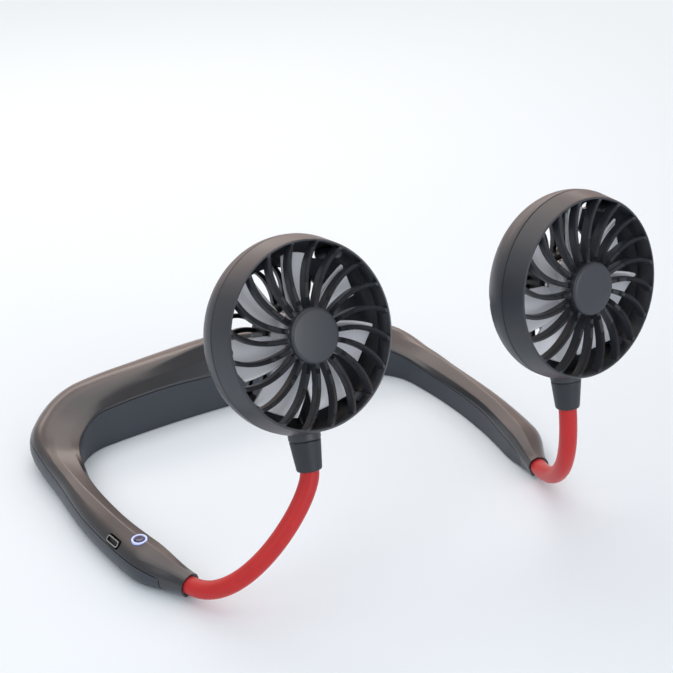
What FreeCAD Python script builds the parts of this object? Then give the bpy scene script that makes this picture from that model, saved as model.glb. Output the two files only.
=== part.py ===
import FreeCAD, Part
import math
import os
from FreeCAD import Placement, Rotation, Vector

# Electric neck fan lying on a table: a hollow U-shaped neckband, two bendable gooseneck arms
# and two round fan heads. Millimetres and degrees. The origin is on the table, in the middle
# of the flat foot at the back of the neckband. +X runs to the right arm, as the wearer looks
# out, -Y is the way the heads blow, +Z is up.

# Neckband plan, measured along the foot of its inner wall
back_radius = 458.0
back_half_run = 66.4
corner_radius = 25.0
arm_radius = 235.0
arm_run = 103.0
toe_in = 17.0

# Neckband cross-sections as (out, up) from the foot of the inner wall: inner foot, lip,
# crease, inner ridge, outer ridge, bulge, outer foot. From the middle of the back round the
# corner to the arm, then the fore part with the button and the tip
band_sections = [
    [(0, 0), (0.9, 19), (5.2, 25.9), (9.1, 31.9), (10.5, 32.3), (26.5, 11), (15, 0)],
    [(0, 0), (1.3, 20), (5.2, 24.3), (9.0, 27.7), (10.3, 28), (28, 9), (16, 0)],
    [(0, 0), (1.0, 19.1), (4.6, 21.6), (8.6, 23.5), (10, 23.7), (28.5, 6.8), (16.5, 0)],
    [(0, 0), (0, 15.5), (4.6, 17), (10.6, 18), (12.5, 18.1), (25.5, 6.2), (15.5, 0)],
    [(0, 0), (0.3, 12.3), (4.4, 13.9), (10.5, 15), (13.3, 15.1), (17.4, 6.8), (14, 0)],
    [(0, 0), (1.4, 10.2), (4.4, 13), (8.9, 14.8), (11.4, 15), (15.2, 6.9), (13.2, 0)],
    [(0, 0), (1.4, 10.2), (3.2, 13.2), (6.5, 15), (8.5, 15.2), (16, 7), (13, 0)],
]
fore_section = [(0, 0), (0.5, 9), (1.8, 12.4), (3.8, 14.1), (11.2, 14), (16.8, 7), (13, 0)]
tip_section = [(3.2, 2.2), (1.2, 6.4), (2.2, 9.6), (4.4, 11.1), (7.4, 11.1), (10.7, 6.6), (8.2, 2.2)]
# Height of the joint between the covers on the outer side of each section
band_joints = [15.0, 14.4, 13.8, 12.6, 10.8, 9.8, 9.4]
tip_joint = 6.4
flank_run = 36.0
bend_run = 20.0
fore_start = 52.0
fore_end = 24.0
wall = 1.8
foot_trim = 0.4
lip_drop = 0.8
joint_gap = 0.15
tip_sleeve_out = 6.0
tip_axis_height = 6.4
lower_cover_stop = 10.0

# Screws of the neckband, as runs along the inner wall from the middle of the back
screw_runs = [0.0, 60.0, 118.0]
screw_out = 8.6
screw_radius = 1.0
screw_head_radius = 2.1
screw_head_height = 1.3
screw_boss_radius = 2.6
screw_pad_height = 1.6
screw_grip = 5.5
screw_clearance = 0.06

# Cells, boards and wiring inside the neckband
cell_length = 42.0
cell_height = 20.5
cell_thickness = 6.6
cell_gap = 5.0
cell_out = 6.4
rest_clearance = 0.1
board_length = 28.0
board_width = 8.0
board_thickness = 1.2
board_out = 4.4
board_up = 8.6
board_back = 34.0
board_post_radius = 1.5
usb_back = 37.0
usb_out = 13.9
usb_width = 7.6
usb_height = 2.6
usb_depth = 5.4
usb_wall = 0.3
usb_tongue_width = 4.9
usb_tongue_depth = 4.3
usb_tongue_height = 0.6
usb_opening_margin = 0.5
harness_radius = 1.0
harness_out = 3.5

# Power button, its light ring and its switch, stacked along the button's axis
button_back = 28.5
button_out = 7.5
button_tilt = 3.0
button_radius = 2.3
button_proud = 0.5
button_travel = 0.5
button_flange = 0.75
button_round = 0.4
ring_radius = 3.2
ring_proud = 0.3
ring_flange = 0.6
ring_flange_height = 0.55
slide_clearance = 0.15
plunger_radius = 0.9
switch_size = 4.2
switch_height = 1.6
key_board_length = 6.0
key_board_width = 5.4
key_board_thickness = 1.0
key_post_radius = 1.5

# Gooseneck arms
sleeve_radius = 3.7
sleeve_bore = 2.3
core_radius = 2.2
core_bore = 1.1
arm_lead_radius = 0.9
sleeve_socket = 8.0
socket_shoulder = 3.0
ferrule_radius = 3.2
ferrule_length = 5.0
socket_clearance = 0.1
straight_end = 1.5

# Each arm as it is bent in the rest pose: foot of its collar seen from the middle of its
# arm tip (inward, forward, up), turn, backward lean and sideways roll of its head, and the
# lengths of the first and last straight reach of the gooseneck's route
arm_poses = {
    "left": {
        "side": -1, "foot": (44.7, 15.7, 46.0), "reaches": (20.0, 10.0),
        "turn": 5.6, "lean": 19.8, "roll": 4.0,
    },
    "right": {
        "side": 1, "foot": (13.4, 31.1, 48.4), "reaches": (11.0, 26.0),
        "turn": 5.1, "lean": 11.5, "roll": 1.1,
    },
}

# Fan head, with depths measured back from the front rim
head_radius = 37.5
head_depth = 25.5
joint_depth = 9.6
rim_radius = 35.5
rim_lip = 0.9
head_wall = 1.6
rear_straight = 3.0
rear_face_radius = 27.0
rear_opening_radius = 25.0
rear_bulge = (35.0, 19.5)
rear_taper = 0.1
rib_count = 20
rib_width = 1.9
rib_depth = 4.0
rib_set_back = 0.3
rib_sweep = 14.0
hub_radius = 10.5
hub_proud = 2.0
hub_thickness = 4.4
hub_round = 1.6
rib_bite = 0.8
rear_rib_depth = 2.8
collar_height = 12.0
collar_top_radius = 6.1
collar_foot_radius = 5.0
collar_depth = 17.2
collar_round = 0.8
boss_radius = 6.3
boss_height = 2.9
boss_reach = 7.6
boss_gap = 0.15
lead_hole_radius = 1.6
head_screw_angles = [35.0, 145.0, 270.0]
head_screw_circle = 33.4
head_screw_radius = 0.9
head_screw_head_radius = 1.7
head_screw_head_height = 1.2
head_boss_radius = 2.1
head_screw_seat = 16.4
head_screw_point = 6.0
head_boss_front = 5.0

# Motor and impeller, with depths measured back from the front rim
motor_radius = 10.0
motor_front = 13.9
motor_length = 8.6
motor_wall = 0.8
motor_nose_radius = 3.2
motor_nose = 1.0
end_cap_thickness = 1.1
cup_wall = 1.5
cup_depth = 9.0
shaft_radius = 1.0
shaft_front = 7.4
bushing_radius = 2.3
bushing_length = 2.4
running_clearance = 0.03
fit_clearance = 0.05
rotor_radius = 7.3
rotor_length = 4.6
rotor_slots = 3
rotor_slot_radius = 1.8
magnet_thickness = 1.2
magnet_arc = 140.0
air_gap = 0.5
impeller_front = 5.6
impeller_hub_radius = 10.4
impeller_hub_length = 7.1
impeller_hub_wall = 1.3
impeller_boss_radius = 2.6
impeller_round = 2.6
impeller_radius = 30.6
blade_count = 7
blade_root_chord = 9.0
blade_tip_chord = 17.0
blade_root_pitch = 48.0
blade_tip_pitch = 26.0
blade_thickness = 1.2
blade_camber = 1.3
blade_middle = 9.2
blade_bite = 0.7
blade_sweep = 3.0
motor_lead_radius = 0.8
motor_lead_back = 3.0
motor_lead_rise = 4.2
motor_lead_tangent = 1.4

UP = Vector(0, 0, 1)
# Longer than any piece, for cuts that go right through
big = 200.0

back_turn = math.degrees(back_half_run / back_radius)
arm_turn = math.degrees(arm_run / arm_radius)
corner_turn = 90.0 + toe_in - back_turn - arm_turn
corner_run = math.radians(corner_turn) * corner_radius
corner_middle = back_half_run + corner_run / 2.0
corner_end = back_half_run + corner_run
tip_run = corner_end + arm_run
band_runs = [
    0.0, flank_run, back_half_run, corner_middle, corner_end, corner_end + bend_run, tip_run - fore_start,
]
foot_width = band_sections[0][6][0] - band_sections[0][0][0]
inner_wall_y = -foot_width / 2.0
floor_top = wall - foot_trim
plan_arcs = [(back_radius, back_half_run), (corner_radius, corner_run), (arm_radius, arm_run)]

collar_axis_z = collar_height + boss_gap + boss_height + head_radius
rear_start = joint_depth + joint_gap


def export(shape, node):
    solid = shape.removeSplitter()
    if not solid.isValid():
        solid.fix(0.001, 0.001, 0.001)
    solid.exportStep("parts/" + node + ".step")
    print(node, "solids", len(solid.Solids), "volume %.1f" % solid.Volume, "valid", solid.isValid())


def mix(first, second, share):
    return first + (second - first) * share


def ease(start, end, value):
    share = min(max((value - start) / (end - start), 0.0), 1.0)
    return share * share * (3.0 - 2.0 * share)


def polar(radius, angle):
    turn = math.radians(angle)
    return Vector(radius * math.sin(turn), 0, radius * math.cos(turn))


def cylinder(radius, foot, top):
    along = top - foot
    return Part.makeCylinder(radius, along.Length, foot, along)


def tube(radius, bore, foot, top):
    along = (top - foot).normalize()
    return cylinder(radius, foot, top).cut(cylinder(bore, foot - along, top + along))


def revolve(points, axis_foot, axis):
    # A closed outline of points and three-point arcs, turned once round the axis
    edges = []
    here = points[0]
    for step in points[1:] + [points[0]]:
        if isinstance(step, tuple):
            edges.append(Part.Arc(here, step[0], step[1]).toShape())
            here = step[1]
        elif (step - here).Length > 1e-6:
            edges.append(Part.makeLine(here, step))
            here = step
    return Part.Face(Part.Wire(edges)).revolve(axis_foot, axis, 360.0)


# Neckband

def plan_frame(run):
    # Foot of the inner wall at this run from the middle of the back, and the way out of it
    side = 1.0 if run >= 0 else -1.0
    left = abs(run)
    heading = 0.0
    spot = Vector(0, inner_wall_y, 0)
    inward = Vector(0, -1, 0)
    for radius, length in plan_arcs:
        step = min(left, length)
        centre = spot + inward * radius
        heading = heading + step / radius
        inward = Vector(-math.sin(heading), -math.cos(heading), 0)
        spot = centre - inward * radius
        left = left - step
    outward = inward * -1.0
    return Vector(spot.x * side, spot.y, 0), Vector(outward.x * side, outward.y, 0)


def along_plan(run):
    # Way along the neckband at this run, towards the tip of its own arm
    outward = plan_frame(run)[1]
    side = 1.0 if run >= 0 else -1.0
    return Vector(outward.y * side, -outward.x * side, 0)


def on_band(run, out, up):
    foot, outward = plan_frame(run)
    return foot + outward * out + UP * up


def along_band(values, run):
    # A smooth curve through one value for each of the band runs, which never swings past them
    slopes = []
    for index in range(len(band_runs) - 1):
        slopes.append((values[index + 1] - values[index]) / (band_runs[index + 1] - band_runs[index]))
    leans = [0.0]
    for before, after in zip(slopes, slopes[1:]):
        leans.append(2.0 * before * after / (before + after) if before * after > 0 else 0.0)
    leans.append(0.0)
    reach = min(abs(run), band_runs[-1])
    index = max(step for step in range(len(slopes)) if band_runs[step] <= reach)
    span = band_runs[index + 1] - band_runs[index]
    share = (reach - band_runs[index]) / span
    rest = 1.0 - share
    curve = rest * rest * (1.0 + 2.0 * share) * values[index]
    curve += share * share * (3.0 - 2.0 * share) * values[index + 1]
    curve += share * rest * span * (rest * leans[index] - share * leans[index + 1])
    return curve


def front_shares(run):
    reach = abs(run)
    to_fore = ease(tip_run - fore_start, tip_run - fore_end, reach)
    to_tip = ease(tip_run - fore_end, tip_run, reach)
    return to_fore, to_tip


def section(run):
    to_fore, to_tip = front_shares(run)
    points = []
    for corner, (fore, tip) in enumerate(zip(fore_section, tip_section)):
        pair = []
        for axis in (0, 1):
            value = along_band([outline[corner][axis] for outline in band_sections], run)
            pair.append(mix(mix(value, fore[axis], to_fore), tip[axis], to_tip))
        points.append(pair)
    for point in (points[0], points[6]):
        point[1] = point[1] - foot_trim
    return points


def joint_line(run):
    # Joint between the covers: a point on the inner wall and one on the outer wall
    points = section(run)
    outer_up = mix(along_band(band_joints, run), tip_joint, front_shares(run)[1])
    inner = (points[1][0], points[1][1] - lip_drop)
    outer = (points[5][0], outer_up)
    return inner, outer


def inward_normal(here, there):
    dx = there[0] - here[0]
    dy = there[1] - here[1]
    length = math.hypot(dx, dy)
    return dy / length, -dx / length


def circle_through(first, second, third):
    ax, ay = first
    bx, by = second
    cx, cy = third
    area = 2.0 * (ax * (by - cy) + bx * (cy - ay) + cx * (ay - by))
    squares = [x * x + y * y for x, y in (first, second, third)]
    x = (squares[0] * (by - cy) + squares[1] * (cy - ay) + squares[2] * (ay - by)) / area
    y = (squares[0] * (cx - bx) + squares[1] * (ax - cx) + squares[2] * (bx - ax)) / area
    return x, y, math.hypot(ax - x, ay - y)


def line_meets_circle(spot, normal, circle):
    # The crossing nearest to the spot, on the line through it square to the normal
    x, y, radius = circle
    way = (-normal[1], normal[0])
    offset = (spot[0] - x, spot[1] - y)
    half = offset[0] * way[0] + offset[1] * way[1]
    rest = offset[0] ** 2 + offset[1] ** 2 - radius ** 2
    root = math.sqrt(half * half - rest)
    step = min((-half - root, -half + root), key=abs)
    return spot[0] + way[0] * step, spot[1] + way[1] * step


def inset(points, distance):
    # The outline moved inwards by the same distance all round
    order = [6, 0, 1, 2, 3, 4]
    normals = [inward_normal(points[a], points[b]) for a, b in zip(order, order[1:])]
    moved = []
    for index in range(4):
        first = normals[index]
        second = normals[index + 1]
        scale = distance / (1.0 + first[0] * second[0] + first[1] * second[1])
        moved.append((
            points[index][0] + (first[0] + second[0]) * scale,
            points[index][1] + (first[1] + second[1]) * scale,
        ))
    x, y, radius = circle_through(*points[4:7])
    smaller = (x, y, radius - distance)
    share = (radius - distance) / radius
    ends = []
    for index, normal in ((4, normals[4]), (6, normals[0])):
        spot = (points[index][0] + normal[0] * distance, points[index][1] + normal[1] * distance)
        ends.append(line_meets_circle(spot, normal, smaller))
    bulge = (x + (points[5][0] - x) * share, y + (points[5][1] - y) * share)
    return moved + [ends[0], bulge, ends[1]]


def outline_wire(run, depth_in):
    # The cross-section at this run, or one that lies this deep inside its skin
    outline = inset(section(run), depth_in) if depth_in else section(run)
    corners = [on_band(run, out, up) for out, up in outline]
    edges = [Part.makeLine(corners[index], corners[index + 1]) for index in range(4)]
    edges.append(Part.Arc(corners[4], corners[5], corners[6]).toShape())
    edges.append(Part.makeLine(corners[6], corners[0]))
    return Part.Wire(edges)


def polygon_wire(run, outline):
    corners = [on_band(run, out, up) for out, up in outline]
    return Part.makePolygon(corners + [corners[0]])


def stations(end_run):
    half = [share * back_half_run for share in (0.0, 0.45, 0.8, 1.0)]
    half += [back_half_run + share * corner_run for share in (0.25, 0.5, 0.75, 1.0)]
    half += [corner_end + share * arm_run for share in (0.07, 0.2, 0.36, 0.52, 0.68, 0.8, 0.9)]
    closest = 3.0
    half = [run for run in half if run < end_run - closest] + [end_run]
    return [-run for run in reversed(half[1:])] + half


def band_loft(end_run, wire_at):
    return Part.makeLoft([wire_at(run) for run in stations(end_run)], True, False)


def below_joint(rise, end_run):
    # Everything under the joint line, raised by the given amount
    overhang = 4.0
    depth = 8.0

    def wire_at(run):
        inner, outer = joint_line(run)
        dx = outer[0] - inner[0]
        slope = (outer[1] - inner[1]) / dx
        near = (inner[0] - overhang, inner[1] - overhang * slope + rise)
        far = (outer[0] + overhang, outer[1] + overhang * slope + rise)
        return polygon_wire(run, [(near[0], -depth), near, far, (far[0], -depth)])

    return band_loft(end_run, wire_at)


def tip_frame(side):
    # Middle of the gooseneck's exit at an arm tip, and the way it leaves
    run = side * tip_run
    return on_band(run, tip_sleeve_out, tip_axis_height), along_plan(run)


def screw_spots():
    return [side * run for run in screw_runs for side in ((1,) if run == 0 else (-1, 1))]


def button_frame():
    # Middle of the button on the cover's top strip: local Z is the way out of the cover
    run = -(tip_run - button_back)
    points = section(run)
    share = (button_out - points[3][0]) / (points[4][0] - points[3][0])
    spot = on_band(run, button_out, mix(points[3][1], points[4][1], share))
    outward = plan_frame(run)[1]
    tilt = math.radians(button_tilt)
    axis = UP * math.cos(tilt) + outward * math.sin(tilt)
    along = along_plan(run)
    return Placement(spot, Rotation(along, axis.cross(along), axis, "ZXY"))


def placed(shape, frame):
    moved = shape.copy()
    moved.Placement = frame.multiply(moved.Placement)
    return moved


def band_frame(run, out, up):
    # Square to the neckband at this run: local X along it, local Y out of it, local Z up
    outward = plan_frame(run)[1]
    return Placement(on_band(run, out, up), Rotation(outward.cross(UP), outward, UP, "ZXY"))


def board_run():
    return -(tip_run - board_back - board_length / 2.0)


def usb_frame():
    # Middle of the socket's mouth
    up = board_up + board_thickness + rest_clearance / 2.0 + usb_height / 2.0
    return band_frame(-(tip_run - usb_back), usb_out, up)


def band_box(run, length, out, width, up, height):
    # A block square to the neckband at this run
    block = Part.makeBox(length, width, height, Vector(-length / 2.0, 0, 0))
    return placed(block, band_frame(run, out, up))


def stack_levels():
    # Heights along the button's axis, from the cover's surface down
    ring_foot = -wall - ring_flange_height - rest_clearance
    button_foot = ring_foot - rest_clearance - button_flange
    switch_top = button_foot - button_travel - rest_clearance
    plunger_foot = switch_top - button_travel
    switch_foot = switch_top - switch_height
    return {
        "ring_foot": ring_foot, "button_foot": button_foot, "plunger_foot": plunger_foot,
        "switch_foot": switch_foot, "board_foot": switch_foot - key_board_thickness,
    }


def make_neckband():
    outer = band_loft(tip_run, lambda run: outline_wire(run, 0.0))
    half_skin = band_loft(tip_run - wall, lambda run: outline_wire(run, wall / 2.0))
    cavity_end = tip_run - sleeve_socket - socket_shoulder
    cavity = band_loft(cavity_end, lambda run: outline_wire(run, wall))
    table = Part.makeBox(2 * big, 2 * big, big, Vector(-big, -big, -big))
    shell = outer.cut(table).cut(cavity)

    for side in (-1, 1):
        spot, way = tip_frame(side)
        socket_end = spot - way * sleeve_socket
        shoulder_end = socket_end - way * socket_shoulder
        pocket_end = shoulder_end - way * (ferrule_length + socket_clearance)
        shell = shell.cut(cylinder(sleeve_radius + socket_clearance, socket_end, spot + way * wall))
        shell = shell.cut(cylinder(core_radius + socket_clearance, shoulder_end, spot))
        shell = shell.cut(cylinder(ferrule_radius + socket_clearance, pocket_end, shoulder_end))

    stop = tip_run - lower_cover_stop
    lower = shell.common(below_joint(0.0, stop))
    upper = shell.cut(below_joint(joint_gap, stop + joint_gap))

    pad_top = floor_top + screw_pad_height
    for run in screw_spots():
        foot = on_band(run, screw_out, 0)
        pad = cylinder(screw_head_radius + wall, foot + UP * (floor_top - wall / 2.0), foot + UP * pad_top)
        boss = cylinder(screw_boss_radius, foot + UP * (pad_top + joint_gap), foot + UP * big)
        pilot_top = pad_top + screw_grip + rest_clearance
        hole = cylinder(screw_radius + screw_clearance, foot - UP, foot + UP * pilot_top)
        recess_top = screw_head_height + rest_clearance
        recess = cylinder(screw_head_radius + screw_clearance, foot - UP, foot + UP * recess_top)
        lower = lower.fuse(pad).cut(hole).cut(recess)
        upper = upper.fuse(boss.common(half_skin)).cut(hole)

    key_frame = button_frame()
    board_foot = stack_levels()["board_foot"]
    bore = Part.makeCylinder(ring_radius + rest_clearance, 4 * wall, Vector(0, 0, -2 * wall))
    seat_radius = ring_radius + ring_flange + rest_clearance
    seat = Part.makeCylinder(seat_radius, 2 * wall, Vector(0, 0, -3 * wall))
    upper = upper.cut(placed(bore.fuse(seat), key_frame))
    post_top = board_foot - rest_clearance
    post = Part.makeCylinder(key_post_radius, big, Vector(0, 0, post_top - big))
    lower = lower.fuse(placed(post, key_frame).common(half_skin))

    for shift in (-board_length / 3.0, board_length / 3.0):
        run = board_run() + shift
        spot = on_band(run, board_out + board_width / 2.0, 0)
        post = cylinder(board_post_radius, spot, spot + UP * (board_up - rest_clearance))
        lower = lower.fuse(post.common(half_skin))

    width = usb_width + 2 * usb_opening_margin
    height = usb_height + 2 * usb_opening_margin
    mouth_corner = Vector(-width / 2.0, -usb_depth - usb_wall, -height / 2.0)
    mouth = Part.makeBox(width, 2 * usb_depth, height, mouth_corner)
    upper = upper.cut(placed(mouth, usb_frame()))

    export(upper, "upper_cover")
    export(lower, "lower_cover")


def make_screws():
    screws = []
    for run in screw_spots():
        foot = on_band(run, screw_out, 0)
        head_foot = foot + UP * (rest_clearance / 2.0)
        head_top = foot + UP * screw_head_height
        point = foot + UP * (floor_top + screw_pad_height + screw_grip)
        head = cylinder(screw_head_radius, head_foot, head_top)
        screws.append(head.fuse(cylinder(screw_radius, head_top, point)))
    export(Part.makeCompound(screws), "cover_screws")


def make_cells():
    for name, side in (("left_cell", -1), ("right_cell", 1)):
        run = side * (cell_gap + cell_length / 2.0)
        up = floor_top + rest_clearance
        block = band_box(run, cell_length, cell_out, cell_thickness, up, cell_height)
        edge_round = cell_thickness / 4.0
        long_edges = [edge for edge in block.Edges if abs(edge.Length - cell_length) < 0.01]
        export(block.makeFillet(edge_round, long_edges), name)


def make_boards():
    board = band_box(board_run(), board_length, board_out, board_width, board_up, board_thickness)
    export(board, "circuit_board")

    def block(width, length, height, back):
        return Part.makeBox(width, length, height, Vector(-width / 2.0, back, -height / 2.0))

    shell = block(usb_width, usb_depth, usb_height, -usb_depth)
    long_edges = [edge for edge in shell.Edges if abs(edge.Length - usb_depth) < 0.01]
    shell = shell.makeFillet(usb_height / 4.0, long_edges)
    hollow = block(usb_width - 2 * usb_wall, usb_depth, usb_height - 2 * usb_wall, usb_wall - usb_depth)
    tongue = block(usb_tongue_width, usb_tongue_depth, usb_tongue_height, -usb_depth)
    export(placed(shell.cut(hollow).fuse(tongue), usb_frame()), "usb_socket")


def make_button():
    frame = button_frame()
    levels = stack_levels()
    ring_foot = levels["ring_foot"]
    button_foot = levels["button_foot"]
    plunger_foot = levels["plunger_foot"]
    bore = button_radius + slide_clearance
    ring = Part.makeCylinder(ring_radius, ring_proud - ring_foot, Vector(0, 0, ring_foot))
    flange = Part.makeCylinder(ring_radius + ring_flange, ring_flange_height, Vector(0, 0, ring_foot))
    hole = Part.makeCylinder(bore, big, Vector(0, 0, ring_foot))
    export(placed(ring.fuse(flange).cut(hole), frame), "light_ring")

    cap = Part.makeCylinder(button_radius, button_proud - button_foot, Vector(0, 0, button_foot))
    rim = [edge for edge in cap.Edges if abs(edge.BoundBox.ZMin - button_proud) < 0.001]
    cap = cap.makeFillet(button_round, rim)
    flange = Part.makeCylinder(button_radius + button_flange, button_flange, Vector(0, 0, button_foot))
    export(placed(cap.fuse(flange), frame), "power_button")

    plunger_top = button_foot - rest_clearance / 2.0
    plunger = Part.makeCylinder(plunger_radius, plunger_top - plunger_foot, Vector(0, 0, plunger_foot))
    export(placed(plunger, frame), "switch_plunger")

    half = switch_size / 2.0
    corner = Vector(-half, -half, levels["switch_foot"])
    body = Part.makeBox(switch_size, switch_size, switch_height, corner)
    well_foot = plunger_foot - button_travel - rest_clearance
    well = Part.makeCylinder(plunger_radius + slide_clearance, big, Vector(0, 0, well_foot))
    export(placed(body.cut(well), frame), "tact_switch")

    board = Part.makeBox(
        key_board_length, key_board_width, key_board_thickness - rest_clearance / 2.0,
        Vector(-key_board_length / 2.0, -key_board_width / 2.0, levels["board_foot"]),
    )
    export(placed(board, frame), "key_board")


def make_harness():
    # Wires round the inside of the inner wall, from the board to the right arm's ferrule
    up = floor_top + rest_clearance + harness_radius
    start = board_run() + board_length / 2.0
    end = tip_run - sleeve_socket - socket_shoulder - 2 * ferrule_length
    stops = [start, -corner_end, -back_half_run, back_half_run, corner_end, end]
    edges = []
    for first, last in zip(stops, stops[1:]):
        spots = [on_band(mix(first, last, share), harness_out, up) for share in (0.0, 0.5, 1.0)]
        edges.append(Part.Arc(*spots).toShape())
    path = Part.Wire(edges)
    profile = Part.Wire(Part.makeCircle(harness_radius, on_band(start, harness_out, up), along_plan(start)))
    export(path.makePipeShell([profile], True, False), "wire_harness")


# Gooseneck arms

def head_frame(pose):
    # Foot of the collar: local Z runs up through the collar, local -Y is the way the head blows
    spot, way = tip_frame(pose["side"])
    inward, forward, up = pose["foot"]
    foot = spot + Vector(-pose["side"] * inward, -forward, up)
    turn = Rotation(UP, pose["turn"]).multiply(Rotation(Vector(1, 0, 0), -pose["lean"]))
    return Placement(foot, turn.multiply(Rotation(Vector(0, 1, 0), pose["roll"])))


def rounded_path(points, tangents):
    # Straight runs joined by tangent arcs; tangents are the lengths cut off at each corner
    edges = []
    here = points[0]
    length = 0.0
    radii = []
    for index, tangent in enumerate(tangents):
        corner = points[index + 1]
        before = (corner - points[index]).normalize()
        after = (points[index + 2] - corner).normalize()
        half_turn = before.getAngle(after) / 2.0
        radius = tangent / math.tan(half_turn)
        to_centre = (after - before).normalize()
        middle = corner + to_centre * (radius / math.cos(half_turn) - radius)
        start = corner - before * tangent
        end = corner + after * tangent
        edges.append(Part.LineSegment(here, start).toShape())
        edges.append(Part.Arc(start, middle, end).toShape())
        length += (start - here).Length + radius * 2.0 * half_turn
        radii.append(radius)
        here = end
    edges.append(Part.LineSegment(here, points[-1]).toShape())
    length += (points[-1] - here).Length
    return edges, length, radii


def arm_route(pose, into_tip, into_collar):
    spot, way = tip_frame(pose["side"])
    frame = head_frame(pose)
    up = frame.Rotation.multVec(UP)
    foot = frame.Base
    first_reach, last_reach = pose["reaches"]
    low = spot + way * first_reach
    high = foot - up * last_reach
    middle = (high - low).Length
    low_tangent = min(first_reach, middle / 2.0) - straight_end
    high_tangent = min(last_reach, middle / 2.0) - straight_end
    points = [spot - way * into_tip, low, high, foot + up * into_collar]
    return rounded_path(points, [low_tangent, high_tangent])


def swept_round(edges, length, radius, label):
    path = Part.Wire(edges)
    start = edges[0].valueAt(edges[0].FirstParameter)
    way = edges[0].tangentAt(edges[0].FirstParameter)
    solid = path.makePipeShell([Part.Wire(Part.makeCircle(radius, start, way))], True, False)
    expected = math.pi * radius * radius * length
    print(label, "swept volume over section times length %.4f" % (solid.Volume / expected))
    return solid


def make_arm(name, pose):
    spot, way = tip_frame(pose["side"])
    sleeve_end = collar_height - socket_shoulder
    edges, length, radii = arm_route(pose, sleeve_socket - rest_clearance, sleeve_end - rest_clearance)
    print(name, "gooseneck length %.1f" % length, "bend radii", ["%.1f" % radius for radius in radii])
    solid = swept_round(edges, length, sleeve_radius, name + " sleeve")
    hollow = swept_round(edges, length, sleeve_bore, name + " bore")
    export(solid.cut(hollow), name + "_gooseneck_sleeve")

    core_start = sleeve_socket + socket_shoulder + ferrule_length
    edges, length, radii = arm_route(pose, core_start, sleeve_end + socket_shoulder / 2.0)
    solid = swept_round(edges, length, core_radius, name + " core")
    hollow = swept_round(edges, length, core_bore, name + " core bore")
    export(solid.cut(hollow), name + "_gooseneck_core")

    edges, length, radii = arm_route(pose, core_start + ferrule_length, collar_height)
    export(swept_round(edges, length, arm_lead_radius, name + " lead"), name + "_arm_lead")

    ferrule_front = spot - way * (sleeve_socket + socket_shoulder + socket_clearance)
    ferrule_back = spot - way * core_start
    ferrule = tube(ferrule_radius, core_radius + fit_clearance, ferrule_back, ferrule_front)
    export(ferrule, name + "_tip_ferrule")


# Fan heads, built round local axes: the collar stands on Z, the fan turns about the Y axis
# through the middle of the head

def depth(value):
    return value - collar_depth


def on_head(radius, angle, back):
    return polar(radius, angle) + Vector(0, depth(back), collar_axis_z)


def turned(outline):
    # Turns an outline of (radius, depth back) steps round the fan's axis
    points = []
    for step in outline:
        if len(step) == 2:
            points.append(Vector(step[0], depth(step[1]), collar_axis_z))
        else:
            points.append((
                Vector(step[0], depth(step[1]), collar_axis_z),
                Vector(step[2], depth(step[3]), collar_axis_z),
            ))
    return revolve(points, Vector(0, 0, collar_axis_z), Vector(0, 1, 0))


def rounded_corner(radius, front, bend):
    # The step of an outline that turns from a front face to a side, as a quarter circle
    saved = bend * (1.0 - math.sqrt(0.5))
    return radius - saved, front + saved, radius, front + bend


def fan_axis_tube(radius, bore, front, back):
    return tube(radius, bore, on_head(0, 0, front), on_head(0, 0, back))


def fan_axis_cylinder(radius, front, back):
    return cylinder(radius, on_head(0, 0, front), on_head(0, 0, back))


def swept_rib(inner, outer, sweep, base_angle, front, thickness):
    # A rib that leaves the hub straight and bends sideways as it goes out
    middle = (inner + outer) / 2.0
    stops = [(inner, 0.0), (middle, sweep / 4.0), (outer, sweep)]
    flanks = []
    for side in (-1.0, 1.0):
        flank = []
        for radius, bend in stops:
            half_angle = math.degrees(math.asin(rib_width / 2.0 / radius))
            flank.append(on_head(radius, base_angle + bend + side * half_angle, front))
        flanks.append(flank)
    near, far = flanks
    edges = [
        Part.Arc(*near).toShape(),
        Part.makeLine(near[2], far[2]),
        Part.Arc(far[2], far[1], far[0]).toShape(),
        Part.makeLine(far[0], near[0]),
    ]
    return Part.Face(Part.Wire(edges)).extrude(Vector(0, thickness, 0))


def head_screw_spots(back):
    return [on_head(head_screw_circle, angle, back) for angle in head_screw_angles]


def make_front_cover(name, frame):
    rim_inner = rim_radius - rim_lip
    ring = turned([
        (rim_inner, 0), (rim_radius - rim_lip / 2.0, 0), rounded_corner(rim_radius, 0, rim_lip / 2.0),
        (head_radius, joint_depth), (head_radius - head_wall, joint_depth), (rim_inner, rib_depth),
    ])
    hub = turned([
        (0, -hub_proud), (hub_radius - hub_round, -hub_proud),
        rounded_corner(hub_radius, -hub_proud, hub_round),
        (hub_radius, hub_thickness - hub_proud), (0, hub_thickness - hub_proud),
    ])
    ribs = []
    for index in range(rib_count):
        base = 360.0 / rib_count * index
        rib_start = hub_radius - rib_bite
        rib_end = rim_inner + rim_lip / 2.0
        ribs.append(swept_rib(rib_start, rib_end, rib_sweep, base, rib_set_back, rib_depth))
    posts = []
    for near, far in zip(head_screw_spots(head_boss_front), head_screw_spots(joint_depth)):
        posts.append(cylinder(head_boss_radius, near, far))
    cover = ring.multiFuse([hub] + ribs + posts)
    for near, far in zip(head_screw_spots(head_screw_point - rest_clearance), head_screw_spots(head_depth)):
        cover = cover.cut(cylinder(head_screw_radius + fit_clearance, near, far))
    export(placed(cover, frame), name + "_front_cover")


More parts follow.
